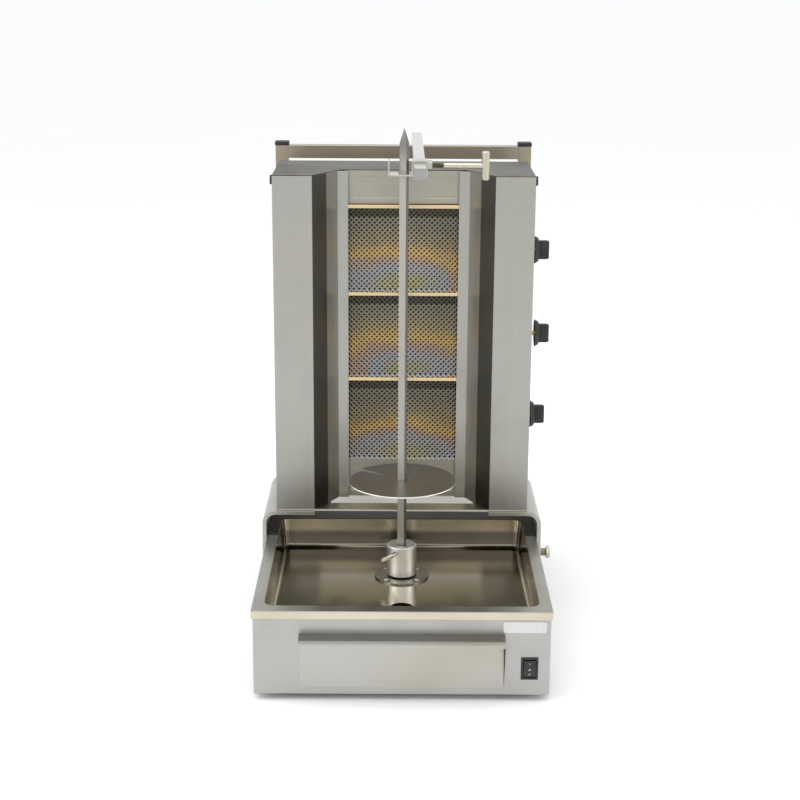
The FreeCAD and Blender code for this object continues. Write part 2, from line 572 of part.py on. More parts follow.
WING_END = "(hub_radius + wing_reach)"
wing = Piece("wing_screw").pad("XZ", f"-{WING_END}", "-skewer_width / 2 - wing_gap", [
    circle("0", "0", "wing_radius")]).pad("XZ", f"-{WING_END} - wing_thick", f"-{WING_END}", [
        rectangle("-wing_length", "wing_radius", "-wing_width / 2", "wing_width / 2")])
wing.round("wing_round", lambda edge: edge.BoundBox.YLength > value("wing_thick") * 0.9
           and edge.BoundBox.YMax < -value(WING_END) + NEAR and edge.BoundBox.XMax < 0
           and edge.BoundBox.XLength < NEAR and edge.BoundBox.ZLength < NEAR)
spin = FreeCAD.Rotation(FreeCAD.Vector(0, 0, 1), value("spindle_turn"))
tilt = FreeCAD.Rotation(FreeCAD.Vector(0, 1, 0), value("wing_tilt"))
wing.body.Placement = FreeCAD.Placement(FreeCAD.Vector(0, 0, 0), spin * tilt)
wing.body.setExpression("Placement.Base.z", tied(WING_Z))

SKEWER_HALF = "(skewer_width / 2)"
SKEWER_TOP = f"({ARM_TOP} + skewer_rise)"
TAPER_FOOT = f"({SKEWER_TOP} - skewer_taper)"
DISC_PIN_Z = "(disc_bottom - pin_radius - disc_gap)"
skewer = Piece("skewer").pad("XY", SKEWER_FOOT, TAPER_FOOT, [
    rectangle(f"-{SKEWER_HALF}", SKEWER_HALF, f"-{SKEWER_HALF}", SKEWER_HALF)])
skewer.loft("AdditiveLoft",
            (TAPER_FOOT, rectangle(f"-{SKEWER_HALF}", SKEWER_HALF, f"-{SKEWER_HALF}", SKEWER_HALF)),
            (SKEWER_TOP, rectangle("-skewer_tip / 2", "skewer_tip / 2", "-skewer_tip / 2", "skewer_tip / 2")))
skewer.pocket("YZ", f"-{SKEWER_HALF}", SKEWER_HALF, [
    circle("0", f"{DISC_PIN_Z} - {i} * hole_pitch", "pin_radius + pin_gap")
    for i in range(SIZES["hole_count"])])
skewer.at(turn="spindle_turn")

plate = doc.addObject("Part::Cylinder", "disc_plate")
bind(plate, Radius="disc_radius", Height="disc_thick")
place(plate, z="disc_bottom")
HOLE_HALF = "(skewer_width / 2 + disc_gap)"
hole = box("disc_hole", (f"-{HOLE_HALF}", HOLE_HALF), (f"-{HOLE_HALF}", HOLE_HALF),
           ("disc_bottom - disc_thick", "disc_bottom + 2 * disc_thick"))
slit_path = box("slit_path", ("0", "disc_radius + disc_thick"), ("-slit_width / 2", "slit_width / 2"),
                ("disc_bottom - disc_thick", "disc_bottom + 2 * disc_thick"))
slit = doc.addObject("Part::Compound", "slit")
slit.Links = [slit_path]
place(slit, turn="slit_angle")
disc = cut("meat_disc", plate, fuse("disc_openings", [hole, slit]))
keep("meat_disc", place(disc, turn="spindle_turn"))

pin = Piece("disc_pin").pad("YZ", "-pin_length / 2", "pin_length / 2", [circle("0", "0", "pin_radius")])
pin.at(z=DISC_PIN_Z, turn="spindle_turn")

# ---------------------------------------------------------------- rear frame, arm and clamp


def tube_loops(low_a, high_a, low_b, high_b):
    """The outline and bore of a square tube."""
    return [rectangle(low_a, high_a, low_b, high_b),
            rectangle(f"{low_a} + tube_wall", f"{high_a} - tube_wall",
                      f"{low_b} + tube_wall", f"{high_b} - tube_wall")]


POST_IN = f"({RIM_SIDE} - post_size)"
for name, sign in (("left", -1), ("right", 1)):
    Piece("post_" + name).pad("XY", "rim_height", ARM_FOOT,
                              tube_loops(*on_side(sign, POST_IN, RIM_SIDE), POST_FRONT, REAR))
Piece("crossbar").pad("YZ", f"-{POST_IN}", POST_IN,
                      tube_loops(POST_FRONT, REAR, f"{ARM_FOOT} - post_size", ARM_FOOT))

ARM_LEFT = "(arm_offset - arm_size / 2)"
ARM_RIGHT = "(arm_offset + arm_size / 2)"
ARM_BACK = f"({REAR} + arm_tail)"
arm = Piece("arm").pad("XZ", "-arm_ahead", ARM_BACK, [rectangle(ARM_LEFT, ARM_RIGHT, ARM_FOOT, ARM_TOP)])
arm.pocket("XZ", "-arm_ahead + arm_end", ARM_BACK, [
    rectangle(f"{ARM_LEFT} + tube_wall", f"{ARM_RIGHT} - tube_wall",
              f"{ARM_FOOT} + tube_wall", f"{ARM_TOP} - tube_wall")])

caps = []
for sign in (-1, 1):
    caps.append(box("post_cap", on_side(sign, f"{POST_IN} - cap_lip", f"{RIM_SIDE} + cap_lip"),
                    (f"{POST_FRONT} - cap_lip", f"{REAR} + cap_lip"),
                    (ARM_FOOT, f"{ARM_FOOT} + cap_height")))
caps.append(box("arm_cap", (ARM_LEFT, ARM_RIGHT), (ARM_BACK, f"{ARM_BACK} + arm_end"), (ARM_FOOT, ARM_TOP)))
group("end_caps", caps)

CLAMP_FRONT = "(-clamp_ahead)"
CLAMP_BACK = "(clamp_length - clamp_ahead)"
SLEEVE_LEFT = f"({ARM_LEFT} - sleeve_fit - sleeve_wall)"
SLEEVE_RIGHT = f"({ARM_RIGHT} + sleeve_fit + sleeve_wall)"
ROD_Z = f"({ARM_FOOT} + rod_rise)"
NUT_END = f"({SLEEVE_RIGHT} + nut_length)"
CLAMP_MID = "(clamp_length / 2 - clamp_ahead)"
nut_tall = "(nut_flats / cos(30) / 2)"
Piece("clamp_sleeve").pad("XZ", CLAMP_FRONT, CLAMP_BACK, [
    rectangle(SLEEVE_LEFT, SLEEVE_RIGHT, f"{ARM_FOOT} - sleeve_fit - sleeve_wall",
              f"{ARM_TOP} + sleeve_fit + sleeve_wall"),
    rectangle(f"{ARM_LEFT} - sleeve_fit", f"{ARM_RIGHT} + sleeve_fit",
              f"{ARM_FOOT} - sleeve_fit", f"{ARM_TOP} + sleeve_fit")]).pad(
    "YZ", SLEEVE_RIGHT, NUT_END, [[
        (f"{CLAMP_MID} - nut_flats / 2", f"{ROD_Z} - {nut_tall} / 2"), (CLAMP_MID, f"{ROD_Z} - {nut_tall}"),
        (f"{CLAMP_MID} + nut_flats / 2", f"{ROD_Z} - {nut_tall} / 2"),
        (f"{CLAMP_MID} + nut_flats / 2", f"{ROD_Z} + {nut_tall} / 2"), (CLAMP_MID, f"{ROD_Z} + {nut_tall}"),
        (f"{CLAMP_MID} - nut_flats / 2", f"{ROD_Z} + {nut_tall} / 2")]]).pocket(
    "YZ", f"{ARM_RIGHT} + sleeve_fit", NUT_END, [circle(CLAMP_MID, ROD_Z, "thread_radius + rod_fit")])

MOUTH_SIDE = "(skewer_width / sqrt(2) + slot_gap)"
STIRRUP_FOOT = f"({ARM_FOOT} - stirrup_sheet)"
STIRRUP_TOP = f"({ARM_FOOT} + stirrup_rise)"
Piece("stirrup").pad("XZ", CLAMP_FRONT, CLAMP_BACK, [[
    ("-stirrup_reach", STIRRUP_FOOT), (SLEEVE_LEFT, STIRRUP_FOOT), (SLEEVE_LEFT, ARM_FOOT),
    ("-stirrup_reach + stirrup_sheet", ARM_FOOT), ("-stirrup_reach + stirrup_sheet", STIRRUP_TOP),
    ("-stirrup_reach", STIRRUP_TOP)]]).pocket("XY", STIRRUP_FOOT, ARM_FOOT, [
        rectangle(f"-{MOUTH_SIDE}", MOUTH_SIDE, f"-{MOUTH_SIDE}", CLAMP_BACK)])

ROD_START = f"({ARM_RIGHT} + running_gap)"
ROD_SHOULDER = f"({NUT_END} + thread_length)"
ROD_END = f"({NUT_END} + rod_length)"
Piece("clamp_screw").turned([
    (ROD_START, "0"), (ROD_START, "thread_radius"), (ROD_SHOULDER, "thread_radius"),
    (ROD_SHOULDER, "rod_radius"), (ROD_END, "rod_radius"), (ROD_END, "0")], axis="H").pad(
    "XY", "-handle_length / 2", "handle_length / 2", [
        circle(f"{ROD_END} + handle_radius / 2", "0", "handle_radius")]).round(
    "handle_round", lambda edge: abs(edge.BoundBox.ZMin) > value("handle_length / 2") - NEAR
    and edge.BoundBox.ZLength < NEAR).at(y=CLAMP_MID, z=ROD_Z)

# ---------------------------------------------------------------- heater carriage

SADDLE_IN = f"({SIDE} + saddle_gap)"
SADDLE_OUT = f"({SADDLE_IN} + saddle_thick)"
SADDLE_FRONT = f"({HEATER_FRONT} - saddle_ahead)"
SADDLE_FOOT = "(rim_height - saddle_drop)"
for name, sign in (("left", -1), ("right", 1)):
    corners = [(SADDLE_OUT, SADDLE_FOOT), (SADDLE_OUT, HEATER_FOOT), ("saddle_end", HEATER_FOOT),
               ("saddle_end", f"{HEATER_FOOT} - saddle_thick"),
               (SADDLE_IN, f"{HEATER_FOOT} - saddle_thick"), (SADDLE_IN, SADDLE_FOOT)]
    saddle = Piece("bracket_" + name).pad("XZ", SADDLE_FRONT, HEATER_BACK,
                                          [[(f"{sign} * {x}", z) for x, z in corners]])
    for corner_x, corner_z, radius in ((SADDLE_OUT, HEATER_FOOT, "saddle_bend"),
                                       (SADDLE_IN, f"{HEATER_FOOT} - saddle_thick",
                                        "saddle_bend - saddle_thick")):
        saddle.round(radius, lambda edge: edge.BoundBox.YLength > value("heater_depth")
                     and abs(abs(edge.BoundBox.XMin) - value(corner_x)) < NEAR
                     and abs(edge.BoundBox.ZMin - value(corner_z)) < NEAR)
    places = ["bolt_y", "lock_y"] if name == "right" else ["bolt_y"]
    saddle.pocket("YZ", *on_side(sign, SADDLE_IN, SADDLE_OUT), [
        circle(y, BOLT_Z, "bolt_radius + bolt_gap") for y in places])

BOLT_IN = f"({SIDE} - base_sheet - stud_inside)"
bolts = []
for sign in (-1, 1):
    shank = rod("bolt_shank", "bolt_radius", "X", *on_side(sign, BOLT_IN, SADDLE_OUT), ("bolt_y", BOLT_Z))
    head = rod("bolt_head", "bolt_head_radius", "X",
               *on_side(sign, SADDLE_OUT, f"{SADDLE_OUT} + bolt_head"), ("bolt_y", BOLT_Z))
    bolts.append(fuse("guide_bolt", [shank, head]))
group("guide_bolts", bolts)

LOCK_STEPS = [("bolt_radius", BOLT_IN), ("bolt_radius", f"{SADDLE_OUT} + bolt_gap"),
              ("lock_washer", f"{SADDLE_OUT} + bolt_gap"),
              ("lock_washer", f"{SADDLE_OUT} + bolt_gap + lock_washer_thick"),
              ("lock_neck_radius", f"{SADDLE_OUT} + bolt_gap + lock_washer_thick"),
              ("lock_neck_radius", f"{SADDLE_OUT} + bolt_gap + lock_washer_thick + lock_neck"),
              ("lock_radius", f"{SADDLE_OUT} + bolt_gap + lock_washer_thick + lock_neck"),
              ("lock_radius", f"{SADDLE_OUT} + bolt_gap + lock_washer_thick + lock_neck + lock_thick")]
Piece("lock_knob").turned(
    [(BOLT_IN, "0")] + [(x, radius) for radius, x in LOCK_STEPS] + [(LOCK_STEPS[-1][1], "0")],
    axis="H").at(y="lock_y", z=BOLT_Z)

ZONE_FOOT = f"({HEATER_FOOT} + burner_rise)"
ZONE_TOP = f"({HEATER_TOP} - crown_height)"
BURNER_PITCH = f"(({ZONE_TOP} - {ZONE_FOOT}) / {len(BURNERS)})"
SHELL_FOOT = f"({HEATER_FOOT} + heater_sheet)"
SHELL_TOP = f"({HEATER_TOP} - heater_sheet)"
SHELL_FRONT = f"({HEATER_FRONT} + heater_sheet)"
SHELL_IN = f"({HEATER_SIDE} - heater_sheet)"
valve_heights = {name: f"({ZONE_FOOT} + {i + 0.5} * {BURNER_PITCH} + valve_rise - {i} * valve_fall)"
                 for i, name in enumerate(BURNERS)}
PIPE_X = f"({SHELL_IN} - valve_length + pipe_radius)"
PIPE_Y = "(valve_y + valve_radius + pipe_radius + valve_gap)"
TAIL_Z = f"({HEATER_FOOT} + pipe_rise + tail_radius)"
Piece("heater_shell").pad("XY", SHELL_FOOT, SHELL_TOP, [[
    (f"-{HEATER_SIDE}", SHELL_FRONT), (f"-{SHELL_IN}", SHELL_FRONT),
    (f"-{SHELL_IN}", f"{HEATER_BACK} - heater_sheet"), (SHELL_IN, f"{HEATER_BACK} - heater_sheet"),
    (SHELL_IN, SHELL_FRONT), (HEATER_SIDE, SHELL_FRONT), (HEATER_SIDE, HEATER_BACK),
    (f"-{HEATER_SIDE}", HEATER_BACK)]]).pocket("YZ", SHELL_IN, HEATER_SIDE, [
        circle("valve_y", z, "stem_radius + 2 * bolt_gap") for z in valve_heights.values()]).pocket(
    "XZ", f"{HEATER_BACK} - heater_sheet", HEATER_BACK, [circle(PIPE_X, TAIL_Z, "pipe_radius + bolt_gap")])

COLUMN_IN = "(throat_half + column_out)"
NOTCH_SIDE = "(throat_half + notch_lap)"
Piece("heater_lid").pad("XY", SHELL_TOP, HEATER_TOP, [[
    (f"-{HEATER_SIDE}", HEATER_FRONT), (f"-{COLUMN_IN}", HEATER_FRONT),
    (f"-{NOTCH_SIDE}", back_from_heater("panel_depth")), (NOTCH_SIDE, back_from_heater("panel_depth")),
    (COLUMN_IN, HEATER_FRONT), (HEATER_SIDE, HEATER_FRONT),
    (HEATER_SIDE, HEATER_BACK), (f"-{HEATER_SIDE}", HEATER_BACK)]])

Piece("heater_floor").pad("XY", HEATER_FOOT, SHELL_FOOT, [
    rectangle(f"-{HEATER_SIDE}", HEATER_SIDE, HEATER_FRONT, HEATER_BACK),
    rectangle("-slot_side", "slot_side", back_from_heater("ledge_depth"), back_from_heater("panel_depth"))])

FOLD_THICK = "(heater_sheet * fold_mitre)"
COLUMN_FOLDS = [
    (HEATER_SIDE, "0"), (COLUMN_IN, "0"), ("(throat_half + fold_out)", "fold_depth"),
    ("(throat_half + strip_width)", "strip_depth"), ("throat_half", "strip_depth"),
    ("throat_half", "strip_depth + heater_sheet"),
    ("(throat_half + strip_width + heater_sheet / 2)", "strip_depth + heater_sheet"),
    (f"(throat_half + fold_out + {FOLD_THICK})", "fold_depth + heater_sheet / 2"),
    (f"({COLUMN_IN} + heater_sheet / 2)", "heater_sheet"), (HEATER_SIDE, "heater_sheet")]
for name, sign in (("left", -1), ("right", 1)):
    Piece("column_" + name).pad("XY", SHELL_FOOT, SHELL_TOP, [[
        (f"{sign} * {x}", back_from_heater(f"({depth})")) for x, depth in COLUMN_FOLDS]])

PANEL_HALF = "(throat_half + panel_lap)"
for name, low, high in (("upper_panel", ZONE_TOP, SHELL_TOP), ("lower_panel", SHELL_FOOT, ZONE_FOOT)):
    keep(name, box(name, (f"-{PANEL_HALF}", PANEL_HALF),
                   (back_from_heater("panel_depth"), back_from_heater("panel_depth + heater_sheet")),
                   (low, high)))

CASE_IN = "(case_gap + case_wall)"
GUARD_FRONT = back_from_heater("(panel_depth - guard_ahead)")
guards, cases, tiles, probes, valves, feeds = [], [], [], [], [], []
for i, name in enumerate(BURNERS):
    low = f"({ZONE_FOOT} + {i} * {BURNER_PITCH} + burner_gap / 2)"
    high = f"({ZONE_FOOT} + {i + 1} * {BURNER_PITCH} - burner_gap / 2)"
    middle = f"(({low} + {high}) / 2)"
    guards.append(box("guard", (f"-{PANEL_HALF}", PANEL_HALF),
                      (GUARD_FRONT, f"{GUARD_FRONT} + guard_thick"),
                      (low, high)))
    case_front = back_from_heater("(panel_depth + case_gap)")
    case_back = f"({case_front} + case_depth)"
    block = box("case_block", (f"-{PANEL_HALF} + case_gap", f"{PANEL_HALF} - case_gap"),
                (case_front, case_back), (f"{low} + case_gap", f"{high} - case_gap"))
    recess = box("case_recess", (f"-{PANEL_HALF} + {CASE_IN}", f"{PANEL_HALF} - {CASE_IN}"),
                 (case_front, f"{case_back} - case_wall"), (f"{low} + {CASE_IN}", f"{high} - {CASE_IN}"))
    cases.append(cut("burner_case", block, recess))
    tiles.append(box("tile",
                     (f"-{PANEL_HALF} + {CASE_IN} + tile_gap", f"{PANEL_HALF} - {CASE_IN} - tile_gap"),
                     (f"{case_front} + tile_setback", f"{case_front} + tile_setback + tile_thick"),
                     (f"{low} + {CASE_IN} + tile_gap", f"{high} - {CASE_IN} - tile_gap")))
    probes.append(rod("probe", "probe_radius", "Z", f"{middle} - probe_length / 2",
                      f"{middle} + probe_length / 2",
                      ("probe_x", back_from_heater("panel_depth + probe_behind"))))
    height = valve_heights[name]
    body = rod("valve_body", "valve_radius", "X", f"{SHELL_IN} - valve_length", SHELL_IN, ("valve_y", height))
    bore = rod("valve_bore", "stem_radius + stem_fit", "X",
               f"{SHELL_IN} - stem_inside - push_room", f"{SHELL_IN} + valve_gap", ("valve_y", height))
    valves.append(cut("valve", body, bore))
    feed_y = f"({case_back} + feed_behind)"
    feed_x = f"({SHELL_IN} - valve_length - feed_out)"
    feeds.append(fuse("feed_pipe", [
        rod("feed_out", "feed_radius", "X", f"{feed_x} - feed_radius", f"{SHELL_IN} - valve_length",
            ("valve_y", height)),
        rod("feed_back", "feed_radius", "Y", "valve_y", f"{feed_y} + feed_radius", (feed_x, height)),
        rod("feed_across", "feed_radius", "X", "feed_end_x - feed_radius", feed_x, (feed_y, height)),
        rod("feed_in", "feed_radius", "Y", case_back, feed_y, ("feed_end_x", height))]))
    outward = "knob_gap + pulled_out" if name == "middle" else "knob_gap"
    knob_back = f"({HEATER_SIDE} + {outward})"
    stem_end = f"({knob_back} + knob_bore_depth - stem_gap)"
    keep("valve_stem_" + name, rod("valve_stem_" + name, "stem_radius", "X",
                                   f"{SHELL_IN} - stem_inside", stem_end, ("valve_y", height)))
    knob = Piece("gas_knob_" + name).turned([
        ("0", "stem_radius + stem_fit"), ("0", "knob_radius"), ("knob_edge", "knob_radius"),
        ("knob_collar", "knob_neck_radius"), ("knob_collar + 2 * knob_edge", "knob_neck_radius"),
        ("knob_collar + 2 * knob_edge", "stem_radius + stem_fit")], axis="H")
    knob.pad("YZ", "knob_collar", "knob_collar + grip_length", [
        rectangle("-grip_thick / 2", "grip_thick / 2", "-grip_height / 2", "grip_height / 2")])
    knob.round("knob_edge", lambda edge: edge.BoundBox.XMin > value("knob_collar + grip_length") - NEAR)
    knob.pocket("YZ", "0", "knob_bore_depth", [circle("0", "0", "stem_radius + stem_fit")])
    knob.at(x=knob_back, y="valve_y", z=height)
group("mesh_guards", guards)
group("burner_bodies", cases)
group("burner_tiles", tiles)
group("thermocouples", probes)
group("gas_valves", valves)
group("feed_pipes", feeds)

TAIL_FOOT = f"({HEATER_BACK} + tail_gap)"
TAIL_END = f"({TAIL_FOOT} + tail_length)"
tee_half = "(pipe_radius + tee_wall)"
pipe = fuse("pipe_outside", [
    box("pipe_tee", *((f"{centre} - {tee_half}", f"{centre} + {tee_half}")
                      for centre in (PIPE_X, PIPE_Y, TAIL_Z))),
    rod("pipe_rise", "pipe_radius", "Z", TAIL_Z, f"{valve_heights['top']} + pipe_above", (PIPE_X, PIPE_Y)),
    rod("pipe_run", "pipe_radius", "Y", PIPE_Y, TAIL_FOOT, (PIPE_X, TAIL_Z)),
    rod("pipe_tail", "tail_radius", "Y", TAIL_FOOT, TAIL_END, (PIPE_X, TAIL_Z))])
inlet = rod("pipe_inlet", "tail_bore", "Y", f"{TAIL_END} - tail_bore_depth", TAIL_END, (PIPE_X, TAIL_Z))
keep("gas_manifold", cut("gas_manifold", pipe, inlet))

plug_z = f"({HEATER_TOP} - plug_below_top)"
group("side_plugs", [
    rod("plug", "plug_radius", "X", *on_side(sign, HEATER_SIDE, f"{HEATER_SIDE} + plug_thick"),
        ("plug_y", plug_z)) for sign in (-1, 1)])

# ---------------------------------------------------------------- checks and files

doc.recompute()
for obj in doc.Objects:
    if {"Invalid", "Error"} & set(obj.State):
        raise RuntimeError(f"{obj.Label} failed: {obj.State}")
for label, obj in parts.items():
    if obj.Shape.isNull() or not obj.Shape.isValid() or not obj.Shape.Solids:
        raise RuntimeError(f"{label} has no valid solid")
os.makedirs("parts", exist_ok=True)
for label, obj in parts.items():
    obj.Shape.exportStep(os.path.join("parts", label + ".step"))
print(len(parts), "sub-parts written")
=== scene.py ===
import json
import math
from contextlib import contextmanager

import bmesh
import bpy
from mathutils import Matrix, Vector

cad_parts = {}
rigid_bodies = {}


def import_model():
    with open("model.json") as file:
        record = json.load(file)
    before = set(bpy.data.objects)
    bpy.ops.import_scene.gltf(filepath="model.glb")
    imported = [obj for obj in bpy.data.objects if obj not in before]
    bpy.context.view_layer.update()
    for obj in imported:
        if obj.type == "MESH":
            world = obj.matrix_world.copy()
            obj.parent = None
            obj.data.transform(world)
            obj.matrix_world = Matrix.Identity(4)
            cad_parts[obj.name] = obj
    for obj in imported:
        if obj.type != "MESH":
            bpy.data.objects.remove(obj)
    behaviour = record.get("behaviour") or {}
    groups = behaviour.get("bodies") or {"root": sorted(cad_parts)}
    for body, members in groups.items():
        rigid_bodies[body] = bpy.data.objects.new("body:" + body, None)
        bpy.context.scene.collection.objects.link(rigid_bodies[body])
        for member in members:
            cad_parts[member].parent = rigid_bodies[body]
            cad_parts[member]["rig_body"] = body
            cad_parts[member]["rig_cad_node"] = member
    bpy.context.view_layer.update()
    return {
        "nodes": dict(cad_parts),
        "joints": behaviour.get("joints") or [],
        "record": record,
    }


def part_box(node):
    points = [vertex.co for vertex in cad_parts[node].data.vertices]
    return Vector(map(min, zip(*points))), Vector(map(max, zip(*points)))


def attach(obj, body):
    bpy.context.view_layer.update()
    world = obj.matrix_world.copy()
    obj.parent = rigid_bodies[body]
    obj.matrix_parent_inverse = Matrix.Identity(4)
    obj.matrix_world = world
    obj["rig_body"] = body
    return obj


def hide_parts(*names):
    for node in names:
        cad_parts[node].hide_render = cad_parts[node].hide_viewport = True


# A vertical gas grill: stainless base with a drip tray, a heater with three burners behind mesh
# guards, an upright skewer on a turned hub, and a rear frame whose arm steadies the skewer.
# Everything is in metres in the frame of the solids: +Z up, +Y to the back, +X to the right.

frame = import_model()
BODY_OF = {node: body for body, nodes in frame["record"]["behaviour"]["bodies"].items() for node in nodes}
JOINTS = {joint["name"]: joint for joint in frame["joints"]}
MM = 0.001
RIGHT_ANGLE = math.pi / 2
BURNERS = ("bottom", "middle", "top")


# ---------------------------------------------------------------- ways to shape a piece

def activate(piece):
    bpy.ops.object.select_all(action="DESELECT")
    piece.select_set(True)
    bpy.context.view_layer.objects.active = piece


def named(name):
    """Names the primitive just added and puts its place into its mesh."""
    piece = bpy.context.active_object
    piece.name = piece.data.name = name
    bpy.ops.object.transform_apply(location=True, rotation=True, scale=True)
    return piece


def block(name, low, high):
    bpy.ops.object.select_all(action="DESELECT")
    low, high = Vector(low), Vector(high)
    bpy.ops.mesh.primitive_cube_add(size=1, location=(low + high) / 2)
    bpy.context.active_object.scale = high - low
    return named(name)


def turning_to(axis):
    """The rotation that takes +Z to an axis."""
    return Vector((0, 0, 1)).rotation_difference(Vector(axis)).to_euler()


def cylinder(name, radius, start, axis, length, sides=48):
    """A cylinder from the middle of its first end, along an axis."""
    bpy.ops.object.select_all(action="DESELECT")
    axis = Vector(axis).normalized()
    bpy.ops.mesh.primitive_cylinder_add(vertices=sides, radius=radius, depth=length,
                                        location=Vector(start) + axis * length / 2,
                                        rotation=turning_to(axis))
    return named(name)


@contextmanager
def editing(piece, kind):
    """Edit mode on a piece, with nothing selected. kind is VERT, EDGE or FACE."""
    activate(piece)
    bpy.ops.object.mode_set(mode="EDIT")
    bpy.ops.mesh.select_mode(type=kind)
    bpy.ops.mesh.select_all(action="DESELECT")
    yield
    bpy.ops.object.mode_set(mode="OBJECT")


def select(piece, kind, wanted):
    """Selects the parts of the mesh in edit mode for which wanted is true. kind is verts, edges or faces."""
    mesh = bmesh.from_edit_mesh(piece.data)
    for item in getattr(mesh, kind):
        item.select_set(bool(wanted(item)))
    mesh.select_flush_mode()
    bmesh.update_edit_mesh(piece.data)


def facing(axis, least=0.9):
    direction = Vector(axis)
    return lambda face: face.normal.dot(direction) > least


def modify(piece, kind, **settings):
    """Adds a modifier and applies it."""
    activate(piece)
    modifier = piece.modifiers.new(kind.lower(), kind)
    for key, setting in settings.items():
        setattr(modifier, key, setting)
    bpy.ops.object.modifier_apply(modifier=modifier.name)
    return piece


def soften(piece, width, segments=2, angle=30):
    """Rounds every edge sharper than an angle."""
    modify(piece, "BEVEL", width=width, segments=segments, limit_method="ANGLE",
           angle_limit=math.radians(angle), use_clamp_overlap=True)
    return smooth(piece)


def smooth(piece, angle=38):
    """Smooth across gentle edges, with the large flat faces kept flat."""
    activate(piece)
    bpy.ops.object.shade_smooth_by_angle(angle=math.radians(angle))
    return modify(piece, "WEIGHTED_NORMAL", keep_sharp=True, weight=100)


def unite(name, pieces):
    """Joins closed shells into one piece."""
    bpy.ops.object.select_all(action="DESELECT")
    for piece in pieces:
        piece.select_set(True)
    bpy.context.view_layer.objects.active = pieces[0]
    if len(pieces) > 1:
        bpy.ops.object.join()
    pieces[0].name = pieces[0].data.name = name
    return pieces[0]


def copy_of(piece, name, offset=(0, 0, 0)):
    twin = piece.copy()
    twin.data = piece.data.copy()
    twin.name = twin.data.name = name
    twin.data.transform(Matrix.Translation(Vector(offset)))
    bpy.context.scene.collection.objects.link(twin)
    return twin


def four_times(piece, low, high, radius):
    """A round piece that stands in the first corner of a box, with copies of it in the other three."""
    across, along = (high.x - low.x - 2 * radius, 0, 0), (0, high.y - low.y - 2 * radius, 0)
    both = Vector(across) + Vector(along)
    return [piece] + [copy_of(piece, piece.name, offset) for offset in (along, across, both)]


def finish_piece(piece, material, *nodes):
    """Hands a finished piece over: its material, the body it rides on and the solids it stands for."""
    if not piece.data.materials:
        piece.data.materials.append(material)
    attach(piece, BODY_OF[nodes[0]])
    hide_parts(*nodes)
    return piece


def sheet_copy(node, suffix):
    """A copy of a solid with its flat faces whole again, ready for edge work."""
    source = frame["nodes"][node]
    piece = source.copy()
    piece.data = source.data.copy()
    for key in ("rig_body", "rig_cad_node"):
        del piece[key]
    piece.parent = None
    piece.name = piece.data.name = f"{node}_{suffix}"
    piece.data.materials.clear()
    bpy.context.scene.collection.objects.link(piece)
    with editing(piece, "VERT"):
        bpy.ops.mesh.select_all(action="SELECT")
        bpy.ops.mesh.remove_doubles(threshold=1e-6)
        bpy.ops.mesh.dissolve_limited(angle_limit=math.radians(0.6))
    return piece


def made_sheet(node, material, width, segments=2, suffix="sheet"):
    """A sheet-metal or moulded piece as drawn, with its edges rounded."""
    return finish_piece(soften(sheet_copy(node, suffix), width, segments), material, node)


def middle_of(node):
    low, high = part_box(node)
    return (low + high) / 2


# ---------------------------------------------------------------- ways to mix a finish

class Value:
    """A shader socket that takes part in plain arithmetic."""

    def __init__(self, finish, socket):
        self.finish, self.socket = finish, socket

    def _sum(self, operation, first, second):
        return self.finish.node("ShaderNodeMath", {"operation": operation}, {0: first, 1: second})

    def __add__(self, other):
        return self._sum("ADD", self, other)

    def __mul__(self, other):
        return self._sum("MULTIPLY", self, other)

    def __sub__(self, other):
        return self._sum("SUBTRACT", self, other)

    def __rsub__(self, other):
        return self._sum("SUBTRACT", other, self)

    def __pow__(self, other):
        return self._sum("POWER", self, other)

    def __abs__(self):
        return self._sum("ABSOLUTE", self, 0)

    __radd__ = __add__
    __rmul__ = __mul__


